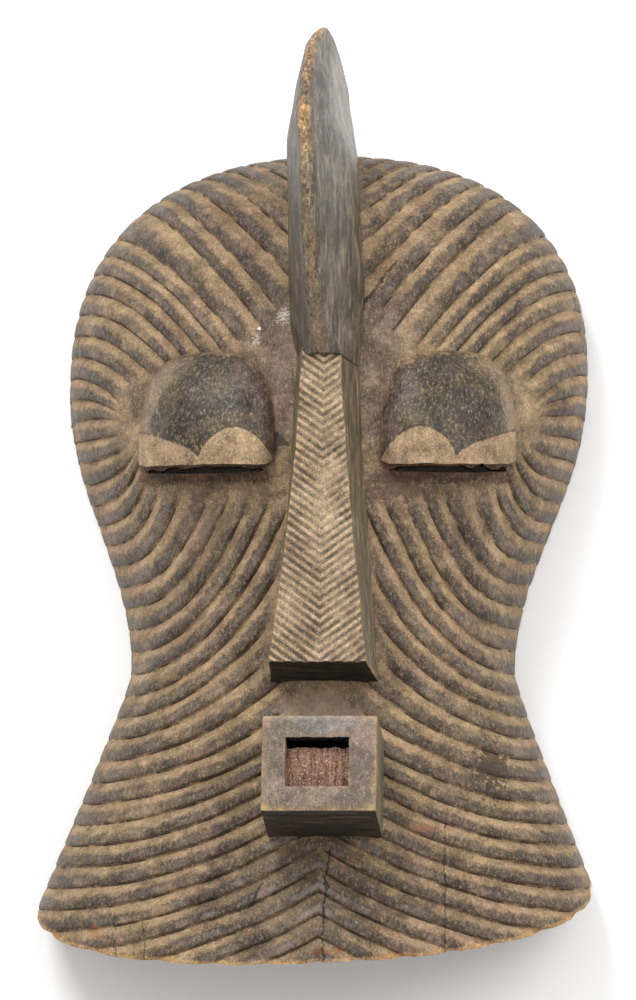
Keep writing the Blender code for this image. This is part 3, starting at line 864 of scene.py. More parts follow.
def makeEyeSlit(side):
    top = eyelids["line"] - eyelids["slitDrop"]
    centre = side * eyelids["centre"]
    back, front = eyelids["slitDepths"]
    low = (centre - eyelids["slitHalfWidth"], top - eyelids["slitHeight"], back)
    high = (centre + eyelids["slitHalfWidth"], top, front)
    (coarseScale, coarse), (fineScale, fine) = eyelids["slitRough"]

    def warp(point):
        rough = noise.noise(Vector((point.x * coarseScale, 2.0, side))) * coarse
        rough += noise.noise(Vector((point.x * fineScale, 4.0, side))) * fine
        across = abs(point.x - centre) / eyelids["slitHalfWidth"]
        middle = top - eyelids["slitHeight"] / 2
        share = eyelids["slitOpen"] - eyelids["slitTaper"] * across ** 2 + 0.5 * rough / coarse
        share = min(max(share, eyelids["leastOpen"]), 1.0)
        point.y = middle + (point.y - middle) * share + rough
        return Vector((point.x + face["lean"] * point.z,
                       point.y - grooves["lift"] * point.z, point.z))

    name = "eyeSlitLeft" if side < 0 else "eyeSlitRight"
    return roundedBlock(name, low, high, eyelids["slitEdge"], eyelids["slitCuts"], warp)


# Hollow and chin cut

hollow = {
    "wall": 0.013,
    "rimWall": 0.012,
    "leastShare": 0.3,
    "turns": 60,
    "levels": 70,
    "length": 0.572,
    "firstDepth": 0.0004,
    "spacing": 1.9,          # rings lie closer together towards the crown
    "cutterSize": 0.6,
    "chinLevel": -0.2865,
    "chinSlope": 0.75,
    "chinSlant": 0.045,
}


def makeHollow():
    headReach = face["headTop"] - face["widestLevel"]
    share = np.arange(hollow["levels"]) / (hollow["levels"] - 1)
    depth = hollow["firstDepth"]
    depth += (hollow["length"] - hollow["firstDepth"]) * share ** hollow["spacing"]
    angle = np.pi * np.arange(hollow["turns"] + 1) / hollow["turns"]
    along = np.cos(angle)
    power = 2 / face["sectionRoundness"]
    rings = []
    for level in face["headTop"] - hollow["rimWall"] - depth:
        outer = level
        if level > face["widestLevel"]:
            outer += ((level - face["widestLevel"]) * hollow["rimWall"]
                      / (headReach - hollow["rimWall"]))
        half = float(halfWidth(outer)) - hollow["rimWall"]
        rise = float(middleHeight(outer))
        rise = max(rise - hollow["wall"], rise * hollow["leastShare"])
        x = -np.sign(along) * np.abs(along) ** power * half
        z = np.maximum(np.sin(angle), 0.0) ** power * rise
        z[0] = z[-1] = -hollow["wall"]
        x = x + face["lean"] * z
        rings.append(np.stack([x, np.full_like(x, level), z], axis=-1))
    rings = np.array(rings)
    faces = sheetFaces(len(rings), rings.shape[1], wrap=True)
    return closedObject("hollow", meshFrom("hollow", rings.reshape(-1, 3), faces))


def makeChinCutter():
    # A large block whose upper face is the slanting cut below the chin.
    bm = bmesh.new()
    size = hollow["cutterSize"]
    bmesh.ops.create_cube(bm, size=size)
    bmesh.ops.translate(bm, verts=bm.verts, vec=(0.0, -size / 2, 0.0))
    tilt = Matrix.Rotation(math.atan(hollow["chinSlope"]), 4, "X")
    slant = Matrix.Rotation(math.atan(hollow["chinSlant"]), 4, "Z")
    place = Matrix.Translation((0.0, hollow["chinLevel"], face["chinHeight"]))
    bmesh.ops.transform(bm, matrix=place @ slant @ tilt, verts=bm.verts)
    mesh = bpy.data.meshes.new("chinCut")
    bm.to_mesh(mesh)
    bm.free()
    return closedObject("chinCut", mesh)


# Joining

def finalMesh(item):
    # The item's mesh with its modifiers worked in.
    graph = bpy.context.evaluated_depsgraph_get()
    return bpy.data.meshes.new_from_object(item.evaluated_get(graph))


def joinPieces(base, raised, removed):
    for item in raised:
        addBoolean(base, item, "UNION")
    for item in removed:
        addBoolean(base, item, "DIFFERENCE")
    bpy.context.view_layer.update()
    return finalMesh(base)


def treeOf(item):
    mesh = finalMesh(item)
    mesh.calc_loop_triangles()
    points = [vert.co.copy() for vert in mesh.vertices]
    return BVHTree.FromPolygons(points, [tri.vertices[:] for tri in mesh.loop_triangles])


blank, blankPoints, blankCounts, blankCarved = makeBlank()
noseBlock, chevrons = makeNose()
raised = [makeCrest(), noseBlock, makeMouth(), makeEyelid(-1), makeEyelid(1)]
removed = [makeHollow(), makeChinCutter(), makeRecess(), makeLipSlit(), makeEyeSlit(-1),
           makeEyeSlit(1)]
joined = joinPieces(blank, raised, removed)
joined.calc_loop_triangles()
print("joined", len(joined.loop_triangles), "triangles")

regionNames = ["face", "crest", "nose", "mouth", "eyelid", "eyelid", "hollow", "chin",
               "recess", "slitShade", "slitShade", "slitShade"]
bareBlank = bpy.data.objects.new("bareBlank", blank.data)
trees = [treeOf(item) for item in [bareBlank] + raised + removed]


farthest = 0.00002           # a face lies this close to the piece it came from


def regionOf(point):
    best, bestGap = 0, 1.0
    for index, tree in enumerate(trees):
        found = tree.find_nearest(point, farthest)
        if found[0] is not None and found[3] < bestGap:
            best, bestGap = index, found[3]
    return best


faceRegions = [regionOf(polygon.center) for polygon in joined.polygons]
print("regions sorted")


# Values that the finish reads from the carving

lobes = {
    "split": 0.1,            # where the two lobes meet, from -1 to 1 across the eyelid
    "least": 0.004,
    "innerRise": 0.0205,
    "innerPower": 0.65,
    "outerRise": 0.0175,
    "outerPower": 0.6,
}

fades = {                    # where each change starts and over what length it grows
    "besideNose": (0.55, 0.3),
    "browFoot": (0.012, 0.006),
    "browTop": (0.085, 0.03),
    "eyeEnds": (5.6 / 6, 1 / 6),
    "underSlitTop": (-0.003, 0.003),
    "underSlitFoot": (0.008, 0.010),
    "crestBelow": (-0.150, 0.05),
    "crestForward": (-0.19, 0.03),
    "headLevel": (0.185, 0.03),
    "headFromRidge": (0.018, 0.03),
    "wearLevel": (0.145, 0.035),
}
browHeight = 0.06            # the brow's finish is only above this
leastRidgeWear = 0.30


def lobeHeight(across):
    # Upper edge of the two pale lobes of an eyelid, from the nose side outwards.
    inner = np.clip((across + 1.0) / (1.0 + lobes["split"]), 0, 1)
    arch = lobes["innerRise"] * np.sin(np.pi * inner) ** lobes["innerPower"]
    outer = np.clip((across - lobes["split"]) / (1.0 - lobes["split"]), 0, 1)
    slope = lobes["outerRise"] * outer ** lobes["outerPower"]
    return np.where(across < lobes["split"], lobes["least"] * inner + arch, lobes["least"] + slope)


def fadeIn(value, name):
    start, length = fades[name]
    return smoothStep((value - start) / length)


def vertexValues(mesh, kind):
    values = np.empty(len(mesh.vertices) * 3)
    mesh.vertices.foreach_get(kind, values)
    return values.reshape(-1, 3)


def addValues(mesh):
    # Lengths are stored in millimetres, and shares from 0 to 1.
    points = vertexValues(mesh, "co")
    x, y, z = points.T
    tree = kdtree.KDTree(len(blankPoints))
    for index, point in enumerate(blankPoints):
        tree.insert(point, index)
    tree.balance()
    nearest = np.array([tree.find(point)[1] for point in points])
    crestLevel = np.clip(y, crest["front"], crest["tip"])
    crestFront = np.array([crestProfile(level)[0] for level in crestLevel])
    sideways = x - crestRidge(crestLevel) - crest["lean"] * (crestFront - z)
    ridge = np.hypot(sideways, crestFront - z)
    lifted = y + grooves["lift"] * z - eyelids["line"]
    across = (np.abs(x - face["lean"] * z) - eyelids["centre"]) / eyelids["halfWidth"]
    lobe = lobeHeight(across) - lifted
    brow = fadeIn(-across, "besideNose") * (z > browHeight)
    brow = brow * fadeIn(lifted, "browFoot") * (1 - fadeIn(lifted, "browTop"))
    under = (1 - fadeIn(np.abs(across), "eyeEnds")) * fadeIn(-lifted, "underSlitTop")
    under = under * (1 - fadeIn(-lifted, "underSlitFoot"))
    rise = np.maximum(lifted / eyelids["rise"], 0.0)
    square = eyelids["squareness"]
    rim = (np.abs(across) ** square + rise ** square) ** (1 / square)
    chin = y - hollow["chinLevel"] - hollow["chinSlant"] * x
    chin += hollow["chinSlope"] * (z - face["chinHeight"])
    chin /= math.hypot(1.0, hollow["chinSlope"])
    values = {"grooveCount": blankCounts[nearest], "carved": blankCarved[nearest],
              "ridge": ridge * 1000, "lobe": lobe * 1000, "brow": brow, "underSlitDark": under,
              "eyeRim": rim, "eyeSide": across,
              "chevron": chevronCut(x, y) * chevronWear(x, y), "chin": chin * 1000,
              "lowness": fadeIn(-z, "crestBelow") * fadeIn(-y, "crestForward"),
              "crestHead": fadeIn(y, "headLevel") * fadeIn(ridge, "headFromRidge"),
              "ridgeWear": leastRidgeWear + (1 - leastRidgeWear) * fadeIn(y, "wearLevel"),
              "edge": edgeValues(mesh, points)}
    for name, numbers in values.items():
        layer = mesh.attributes.new(name, "FLOAT", "POINT")
        layer.data.foreach_set("value", np.asarray(numbers, np.float32))


def edgeValues(mesh, points):
    # How sharply each place stands out (positive) or lies in a corner (negative).
    normals = vertexValues(mesh, "normal")
    pairs = np.empty(len(mesh.edges) * 2, dtype=np.int32)
    mesh.edges.foreach_get("vertices", pairs)
    a, b = pairs.reshape(-1, 2).T
    away = points[b] - points[a]
    length = np.maximum(np.linalg.norm(away, axis=1), 1e-7)
    ends = np.concatenate([a, b])
    bend = np.concatenate([-(away * normals[a]).sum(axis=1) / length,
                           (away * normals[b]).sum(axis=1) / length])
    count = np.maximum(np.bincount(ends, minlength=len(points)), 1)
    values = np.bincount(ends, weights=bend, minlength=len(points)) / count
    for _ in range(3):
        near = np.concatenate([values[b], values[a]])
        spread = np.bincount(ends, weights=near, minlength=len(points)) / count
        values = values * 0.5 + spread * 0.5
    return values


addValues(joined)
print("values added")


def placePiece(mesh):
    # Moves and slightly scales the mask so that it fills the same box as the solid.
    low, high = [np.array(corner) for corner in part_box("mask")]
    points = vertexValues(mesh, "co")
    least, most = points.min(axis=0), points.max(axis=0)
    scale = np.minimum((high - low) / (most - least), 1.0)
    middle = (least + most) / 2
    shift = (low + high) / 2 - middle
    print("shift", shift, "scale", scale)
    mesh.vertices.foreach_set("co", ((points - middle) * scale + middle + shift).reshape(-1))
    mesh.update()
    return Vector(shift)


shift = placePiece(joined)


# Finishes

def shade(code):
    # A hex colour as the linear colour that nodes use.
    parts = [int(code[i:i + 2], 16) / 255 for i in (1, 3, 5)]
    return tuple(((part + 0.055) / 1.055) ** 2.4 for part in parts) + (1.0,)


def addNode(tree, kind, **settings):
    node = tree.nodes.new(kind)
    for name, value in settings.items():
        setattr(node, name, value)
    return node


def feed(tree, node, **links):
    # Links outputs, or sets plain values, on a node's inputs by name.
    for name, value in links.items():
        socket = node.inputs[name.replace("_", " ")]
        if isinstance(value, bpy.types.NodeSocket):
            tree.links.new(value, socket)
        else:
            socket.default_value = value
    return node


def mathNode(tree, operation, first, second=0.0, third=None, clamp=False):
    node = addNode(tree, "ShaderNodeMath", operation=operation, use_clamp=clamp)
    for index, value in enumerate((first, second, third)):
        if isinstance(value, bpy.types.NodeSocket):
            tree.links.new(value, node.inputs[index])
        elif value is not None:
            node.inputs[index].default_value = value
    return node.outputs[0]


def times(tree, first, second):
    return mathNode(tree, "MULTIPLY", first, second)


def plus(tree, first, second):
    return mathNode(tree, "ADD", first, second)


def timesPlus(tree, value, factor, added):
    return mathNode(tree, "MULTIPLY_ADD", value, factor, added)


def ramp(tree, value, low, high, start=0.0, end=1.0, kind="SMOOTHSTEP"):
    node = addNode(tree, "ShaderNodeMapRange", interpolation_type=kind)
    feed(tree, node, Value=value, From_Min=low, From_Max=high, To_Min=start, To_Max=end)
    return node.outputs["Result"]


def mixColour(tree, factor, first, second, blend="MIX"):
    node = addNode(tree, "ShaderNodeMix", data_type="RGBA", blend_type=blend)
    for socket, value in ((node.inputs[0], factor), (node.inputs[6], first),
                          (node.inputs[7], second)):
        if isinstance(value, bpy.types.NodeSocket):
            tree.links.new(value, socket)
        else:
            socket.default_value = value
    return node.outputs[2]


def vectorNode(tree, operation, first, second=None, scale=None, out="Vector"):
    node = addNode(tree, "ShaderNodeVectorMath", operation=operation)
    given = {0: first, 1: second, "Scale": scale}
    for name, value in given.items():
        if isinstance(value, bpy.types.NodeSocket):
            tree.links.new(value, node.inputs[name])
        elif value is not None:
            node.inputs[name].default_value = value
    return node.outputs[out]


def noiseNode(tree, scale, detail=4.0, roughness=0.6, stretch=None, vector=None):
    if vector is None:
        vector = addNode(tree, "ShaderNodeTexCoord").outputs["Object"]
    if stretch:
        mapping = addNode(tree, "ShaderNodeMapping")
        feed(tree, mapping, Vector=vector, Scale=stretch)
        vector = mapping.outputs["Vector"]
    node = addNode(tree, "ShaderNodeTexNoise")
    feed(tree, node, Vector=vector, Scale=scale, Detail=detail, Roughness=roughness)
    return node.outputs["Fac"]


def attribute(tree, name):
    return addNode(tree, "ShaderNodeAttribute", attribute_name=name).outputs["Fac"]


def newGroup(name, inputs, outputs):
    group = bpy.data.node_groups.new(name, "ShaderNodeTree")
    for label, kind, value in inputs:
        socket = group.interface.new_socket(label, in_out="INPUT", socket_type=kind)
        socket.default_value = value
    for label, kind in outputs:
        group.interface.new_socket(label, in_out="OUTPUT", socket_type=kind)
    enter = group.nodes.new("NodeGroupInput")
    leave = group.nodes.new("NodeGroupOutput")
    return group, enter.outputs, leave.inputs


def makeMottleGroup():
    # Fibrous salt-and-pepper mottling between three tones.
    group, given, out = newGroup(
        "mottledPatina",
        [("Dark", "NodeSocketColor", shade("#3B352C")),
         ("Middle", "NodeSocketColor", shade("#5F574A")),
         ("Light", "NodeSocketColor", shade("#8A7D66")),
         ("Speckle", "NodeSocketFloat", 0.5)],
        [("Color", "NodeSocketColor")])
    broad = noiseNode(group, 46.0, 6.0, 0.72)
    fine = noiseNode(group, 620.0, 4.0, 0.85, stretch=(1.0, 0.55, 1.0))
    patch = ramp(group, broad, 0.36, 0.64)
    colour = mixColour(group, patch, given["Dark"], given["Middle"])
    speck = ramp(group, fine, 0.50, 0.66)
    speckAmount = mathNode(group, "MULTIPLY", speck, given["Speckle"], clamp=True)
    colour = mixColour(group, speckAmount, colour, given["Light"])
    pit = ramp(group, fine, 0.48, 0.34)
    pitAmount = mathNode(group, "MULTIPLY", pit, given["Speckle"], clamp=True)
    colour = mixColour(group, pitAmount, colour, given["Dark"])
    tint = ramp(group, noiseNode(group, 21.0, 5.0, 0.7), 0.44, 0.60)
    plum = mixColour(group, times(group, tint, 0.5), (1.03, 1.0, 0.93, 1.0), (1.0, 0.90, 0.94, 1.0))
    colour = mixColour(group, 1.0, colour, plum, "MULTIPLY")
    flecks = noiseNode(group, 1600.0, 2.0, 0.8, stretch=(1.0, 0.7, 1.0))
    flecks = ramp(group, flecks, 0.36, 0.64, 0.64, 1.36, "LINEAR")
    blotch = ramp(group, noiseNode(group, 150.0, 5.0, 0.75), 0.34, 0.66, 0.78, 1.22, "LINEAR")
    shadeAmount = times(group, flecks, blotch)
    colour = vectorNode(group, "SCALE", colour, scale=shadeAmount)
    group.links.new(colour, out["Color"])
    return group


def makeReliefGroup():
    # Height of the worn wood's surface, from fine pores to soft tool marks.
    group, given, out = newGroup(
        "woodRelief",
        [("Pores", "NodeSocketFloat", 0.5), ("Dents", "NodeSocketFloat", 0.5)],
        [("Height", "NodeSocketFloat")])
    pores = noiseNode(group, 760.0, 3.0, 0.75, stretch=(1.0, 0.6, 1.0))
    dents = noiseNode(group, 150.0, 5.0, 0.65)
    height = times(group, pores, given["Pores"])
    height = timesPlus(group, dents, given["Dents"], height)
    group.links.new(height, out["Height"])
    return group


def makeWearGroup():
    # Where handling has rubbed the edges down to paler wood.
    group, given, out = newGroup(
        "edgeRub",
        [("Amount", "NodeSocketFloat", 1.0), ("Start", "NodeSocketFloat", 0.05),
         ("Full", "NodeSocketFloat", 0.16)],
        [("Mask", "NodeSocketFloat")])
    edge = attribute(group, "edge")
    rough = noiseNode(group, 130.0, 5.0, 0.7)
    rough = timesPlus(group, rough, 0.44, -0.22)
    edge = plus(group, edge, rough)
    mask = ramp(group, edge, given["Start"], given["Full"])
    mask = mathNode(group, "MULTIPLY", mask, given["Amount"], clamp=True)
    group.links.new(mask, out["Mask"])
    return group


def makeCrackGroup():
    # A thin wandering crack between two places, seen from the front.
    group, given, out = newGroup(
        "thinCrack",
        [("Start", "NodeSocketVector", (0.0, 0.0, 0.0)),
         ("End", "NodeSocketVector", (0.1, 0.0, 0.0)),
         ("Width", "NodeSocketFloat", 0.0006), ("Wander", "NodeSocketFloat", 0.002)],
        [("Mask", "NodeSocketFloat")])
    place = addNode(group, "ShaderNodeTexCoord").outputs["Object"]
    wobble = addNode(group, "ShaderNodeTexNoise")
    feed(group, wobble, Vector=place, Scale=120.0, Detail=4.0, Roughness=0.7)
    centred = vectorNode(group, "SUBTRACT", wobble.outputs["Color"], (0.5, 0.5, 0.5))
    centred = vectorNode(group, "SCALE", centred, scale=given["Wander"])
    place = vectorNode(group, "MULTIPLY", vectorNode(group, "ADD", place, centred),
                       (1.0, 1.0, 0.0))
    run = vectorNode(group, "SUBTRACT", given["End"], given["Start"])
    away = vectorNode(group, "SUBTRACT", place, given["Start"])
    along = mathNode(group, "DIVIDE", vectorNode(group, "DOT_PRODUCT", away, run, out="Value"),
                     vectorNode(group, "DOT_PRODUCT", run, run, out="Value"), clamp=True)
    foot = vectorNode(group, "SCALE", run, scale=along)
    gap = vectorNode(group, "DISTANCE", away, foot, out="Value")
    thin = times(group, given["Width"], 0.4)
    mask = ramp(group, gap, given["Width"], thin)
    group.links.new(mask, out["Mask"])
    return group


def makeSpotGroup():
    # A ragged round patch, seen from the front.
    group, given, out = newGroup(
        "raggedSpot",
        [("Centre", "NodeSocketVector", (0.0, 0.0, 0.0)),
         ("Reach", "NodeSocketVector", (0.01, 0.01, 1.0)),
         ("Ragged", "NodeSocketFloat", 0.8), ("Scale", "NodeSocketFloat", 220.0)],
        [("Mask", "NodeSocketFloat")])
    place = addNode(group, "ShaderNodeTexCoord").outputs["Object"]
    away = vectorNode(group, "SUBTRACT", place, given["Centre"])
    away = vectorNode(group, "MULTIPLY", away, (1.0, 1.0, 0.0))
    away = vectorNode(group, "DIVIDE", away, given["Reach"])
    gap = vectorNode(group, "LENGTH", away, out="Value")
    rough = addNode(group, "ShaderNodeTexNoise")
    feed(group, rough, Vector=place, Scale=given["Scale"], Detail=5.0, Roughness=0.7)
    rough = mathNode(group, "SUBTRACT", rough.outputs["Fac"], 0.5)
    rough = times(group, rough, given["Ragged"])
    rough = timesPlus(group, rough, 3.0, gap)
    mask = ramp(group, rough, 1.0, 0.75)
    group.links.new(mask, out["Mask"])
    return group


mottleGroup = makeMottleGroup()
reliefGroup = makeReliefGroup()
wearGroup = makeWearGroup()
crackGroup = makeCrackGroup()
spotGroup = makeSpotGroup()


def placeGroup(tree, group, **values):
    node = addNode(tree, "ShaderNodeGroup", node_tree=group)
    feed(tree, node, **values)
    return node.outputs


def newFinish(name, specular=0.35):
    material = bpy.data.materials.new(name)
    material.use_nodes = True
    tree = material.node_tree
    shader = tree.nodes["Principled BSDF"]
    feed(tree, shader, Specular_IOR_Level=specular)
    return material, tree, shader


def finishSurface(tree, shader, colour, roughness, height, strength, distance=0.0009):
    bump = addNode(tree, "ShaderNodeBump")
    feed(tree, bump, Strength=strength, Distance=distance, Height=height)
    feed(tree, shader, Base_Color=colour, Roughness=roughness)
    tree.links.new(bump.outputs["Normal"], shader.inputs["Normal"])


def mottle(tree, dark, middle, light, speckle):
    return placeGroup(tree, mottleGroup, Dark=shade(dark), Middle=shade(middle),
                      Light=shade(light), Speckle=speckle)["Color"]


def threeTones(tree, tones, patch, fleck):
    # The first two tones by one mask, and the third over them by another.
    colour = mixColour(tree, patch, shade(tones[0]), shade(tones[1]))
    return mixColour(tree, fleck, colour, shade(tones[2]))


def shifted(place):
    return (place[0] + shift.x, place[1] + shift.y, 0.0)


def spotMask(tree, spot):
    return placeGroup(tree, spotGroup, Centre=shifted(spot["place"]),
                      Reach=(*spot["reach"], 1.0), Ragged=spot["ragged"],
                      Scale=spot["scale"])["Mask"]


# Marks that the face has: places and sizes are in the carving's own frame.

cracks = {
    "brow": {"from": (0.0229, 0.0889), "to": (0.0469, 0.1279), "width": 0.0010},
    "jawRight": {"from": (0.0782, -0.2025), "to": (0.0795, -0.2800), "width": 0.0004},
    "jawLeft": {"from": (-0.0927, -0.2555), "to": (-0.0908, -0.2830), "width": 0.0004},
    "jawCorner": {"from": (-0.1100, -0.2541), "to": (-0.1080, -0.2830), "width": 0.0004},
    "chinPeel": {"from": (-0.0240, -0.2400), "to": (-0.0330, -0.2560), "width": 0.0006},
    "chinLine": {"from": (0.0125, -0.2220), "to": (0.0098, -0.2840), "width": 0.0007},
}

spots = {
    "dustUpper": {"place": (-0.0177, 0.0931), "reach": (0.0032, 0.0036), "ragged": 2.6,
                  "scale": 700.0, "colour": "#D6D0C6", "amount": 0.55},
    "dustLeft": {"place": (-0.0317, 0.0866), "reach": (0.0012, 0.0012), "ragged": 0.6,
                 "scale": 500.0, "colour": "#F2EEE8", "amount": 0.95},
    "dustLower": {"place": (-0.0330, 0.0778), "reach": (0.0024, 0.0034), "ragged": 2.6,
                  "scale": 700.0, "colour": "#D0C8BA", "amount": 0.5},
    "bareChip": {"place": (0.0662, -0.2069), "reach": (0.011, 0.0026), "ragged": 1.3,
                 "scale": 240.0, "colour": "#8A6248", "amount": 0.85},
    "chinRust": {"place": (0.0125, -0.2790), "reach": (0.012, 0.003), "ragged": 1.2,
                 "scale": 160.0, "colour": "#7E4A28", "amount": 0.4},
    "jawRust": {"place": (-0.1212, -0.2620), "reach": (0.004, 0.006), "ragged": 1.2,
                "scale": 200.0, "colour": "#A5683F", "amount": 0.4},
    "roughPatch": {"place": (0.1034, -0.1681), "reach": (0.009, 0.017), "ragged": 1.6,
                   "scale": 300.0, "colour": "#3A3024", "amount": 0.8},
    "browPoint": {"place": (-0.0215, 0.0175), "reach": (0.0080, 0.0055), "ragged": 0.7,
                  "scale": 200.0, "colour": "#332B27", "amount": 0.8},
    "knot": {"place": (-0.0274, -0.1478), "reach": (0.0020, 0.0020), "ragged": 0.3,
             "scale": 200.0, "colour": "#4A4038", "amount": 0.7},
    "cheekRight": {"place": (0.049, -0.008), "reach": (0.026, 0.009), "ragged": 1.7,
                   "scale": 260.0, "colour": "#4A382F", "amount": 0.65},
    "lipRoot": {"place": (0.0085, -0.1400), "reach": (0.026, 0.011), "ragged": 1.3,
                "scale": 120.0, "colour": "#93806F", "amount": 0.55},
    "cheekLeft": {"place": (-0.060, -0.030), "reach": (0.020, 0.022), "ragged": 1.5,
                  "scale": 120.0, "colour": "#56443A", "amount": 0.45},
}

# A mottled tone is its dark, middle and light colour and its amount of speckle.

faceFinish = {
    "ridge": ("#30271E", "#5A4C3E", "#8C7D69", 0.75),
    "tan": ("#7A674F", "#A38C70", "#BDA88C", 0.40),
    "brow": ("#54463D", "#867466", "#A39284", 0.6),
    "rawEdge": ("#7A5F42", "#B3946B", "#C99D66", 0.8),
    # tones of the darker band just under the eye slits
    "underSlitDark": ("#2A1D17", "#66493A", "#927358", 0.9),
    # colour of the painted shade in the creases
    "creaseShade": "#21170F",
    "crack": "#1C150F",
    "crackWander": 0.008,
    "shine": "#9A938F",
    "straying": (0.80, 0.60),        # how raggedly the tan ends, in broad and fine noise
    "dust": 0.65,                    # the most tan that dust adds and grime takes away
    "grime": 0.60,
    "browAmount": 0.85,
    "creaseShadeAmount": 0.85,
    "crackAmount": 0.8,
    "underSlitAmount": 0.85,
    "rawAmount": 0.9,
    "polished": {"place": (-0.004, -0.250), "reach": (0.062, 0.042), "ragged": 1.2,
                 "scale": 60.0},     # the chin, which is darker and glossier
    "polishedTan": 0.55,             # how much tan it loses
    "shineAmount": (0.12, 0.22),     # everywhere, and added where polished
    "polishedSmoothing": 0.14,
    "ridgeRoughness": 0.46,
    "tanRoughness": 0.85,
    "bumpDistance": 0.0012,
}


def makeFaceFinish():
    # Phase runs from 0 at one groove's bottom to 1 at the next.
    material, tree, shader = newFinish("carvedFace", 0.28)
    count = attribute(tree, "grooveCount")
    carved = attribute(tree, "carved")
    coarse = noiseNode(tree, 48.0, 5.0, 0.7)
    ragged = noiseNode(tree, 240.0, 5.0, 0.8)
    broadStray, fineStray = faceFinish["straying"]
    stray = timesPlus(tree, coarse, broadStray, -broadStray / 2)
    ragged = timesPlus(tree, ragged, fineStray, -fineStray / 2)
    stray = plus(tree, stray, ragged)
    phase = mathNode(tree, "FRACT", count)
    # Tan slopes that end raggedly on the dark ridges, with dust and grime over both.
    loose = plus(tree, phase, stray)
    tan = ramp(tree, loose, 0.32, 0.62, 1.0, 0.0)
    foot = ramp(tree, phase, 0.92, 0.99)
    tan = mathNode(tree, "MAXIMUM", tan, foot)
    dust = ramp(tree, noiseNode(tree, 30.0, 7.0, 0.75), 0.48, 0.66)
    tan = mathNode(tree, "MAXIMUM", tan, times(tree, dust, faceFinish["dust"]))
    grime = ramp(tree, noiseNode(tree, 38.0, 7.0, 0.75), 0.50, 0.68)
    grime = timesPlus(tree, grime, -faceFinish["grime"], 1.0)
    tan = times(tree, tan, grime)
    gloss = spotMask(tree, faceFinish["polished"])
    kept = timesPlus(tree, gloss, -faceFinish["polishedTan"], 1.0)
    tan = times(tree, tan, kept)
    plain = ramp(tree, noiseNode(tree, 40.0, 6.0, 0.72), 0.36, 0.62, 0.25, 0.95)
    tan = mathNode(tree, "SUBTRACT", tan, plain)
    tan = timesPlus(tree, tan, carved, plain)
    colour = mixColour(tree, tan, mottle(tree, *faceFinish["ridge"]),
                       mottle(tree, *faceFinish["tan"]))
    # Painted highlight on the ridges' crowns, the smooth brow, and dark lines of painted shade in
    # the creases.
    crown = times(tree, ramp(tree, phase, 0.50, 0.62), ramp(tree, phase, 0.90, 0.76))
    shine = times(tree, ramp(tree, coarse, 0.46, 0.62), crown)
    everywhere, added = faceFinish["shineAmount"]
    shine = times(tree, times(tree, shine, carved), timesPlus(tree, gloss, added, everywhere))
    colour = mixColour(tree, shine, colour, shade(faceFinish["shine"]))
    brow = times(tree, attribute(tree, "brow"), faceFinish["browAmount"])
    colour = mixColour(tree, brow, colour, mottle(tree, *faceFinish["brow"]))
    # Painted shade at the bottom of each groove.
    upper = ramp(tree, phase, 0.0, 0.05, 1.0, 0.0)
    lower = ramp(tree, phase, 0.91, 0.985)
    creaseShade = mathNode(tree, "MAXIMUM", upper, lower)
    creaseShade = times(tree, creaseShade, carved)
    creaseShade = times(tree, creaseShade, ramp(tree, noiseNode(tree, 70.0, 3.0), 0.40, 0.58))
    creaseShade = times(tree, creaseShade, faceFinish["creaseShadeAmount"])
    colour = mixColour(tree, creaseShade, colour, shade(faceFinish["creaseShade"]))
    # A darker band under the eye slits, single marks, and bare wood along the chin's cut edge.
    underSlit = plus(tree, attribute(tree, "underSlitDark"), times(tree, stray, 1.3))
    underSlit = ramp(tree, underSlit, 0.50, 0.95, 0.0, faceFinish["underSlitAmount"])
    colour = mixColour(tree, underSlit, colour, mottle(tree, *faceFinish["underSlitDark"]))
    for spot in spots.values():
        mask = times(tree, spotMask(tree, spot), spot["amount"])
        colour = mixColour(tree, mask, colour, shade(spot["colour"]))
    chin = timesPlus(tree, stray, 7.0, attribute(tree, "chin"))
    raw = ramp(tree, chin, 2.4, 1.0, 0.0, faceFinish["rawAmount"])
    colour = mixColour(tree, raw, colour, mottle(tree, *faceFinish["rawEdge"]))
    relief = placeGroup(tree, reliefGroup, Pores=0.6, Dents=0.9)["Height"]
    for crack in cracks.values():
        mask = placeGroup(tree, crackGroup, Start=shifted(crack["from"]),
                          End=shifted(crack["to"]), Width=crack["width"],
                          Wander=faceFinish["crackWander"])["Mask"]
        broken = times(tree, mask, ramp(tree, coarse, 0.40, 0.52, 0.2, 0.9))
        broken = times(tree, broken, faceFinish["crackAmount"])
        colour = mixColour(tree, broken, colour, shade(faceFinish["crack"]))
        relief = timesPlus(tree, mask, -1.5, relief)
    roughness = ramp(tree, tan, 0.0, 1.0, faceFinish["ridgeRoughness"],
                     faceFinish["tanRoughness"], "LINEAR")
    roughness = timesPlus(tree, gloss, -faceFinish["polishedSmoothing"], roughness)
    finishSurface(tree, shader, colour, roughness, relief, 1.0, faceFinish["bumpDistance"])
    return material


def facing(tree):
    # The surface's direction in the mask's own frame.
    split = addNode(tree, "ShaderNodeSeparateXYZ")
    feed(tree, split, Vector=addNode(tree, "ShaderNodeTexCoord").outputs["Normal"])
    return split.outputs


# Near black to dark brown: end grain in painted shade.
endGrainInShade = ("#090604", "#52422E")


def shadeUnderside(tree, colour, amount):
    # Painted shade: faces turned towards the chin are darkened, with end grain showing in it.
    under = ramp(tree, facing(tree)["Y"], -0.55, -0.85)
    grain = noiseNode(tree, 420.0, 5.0, 0.75, stretch=(0.10, 1.0, 1.0))
    grain = ramp(tree, grain, 0.46, 0.70)
    wood = mixColour(tree, grain, shade(endGrainInShade[0]), shade(endGrainInShade[1]))
    return mixColour(tree, times(tree, under, amount), colour, wood)


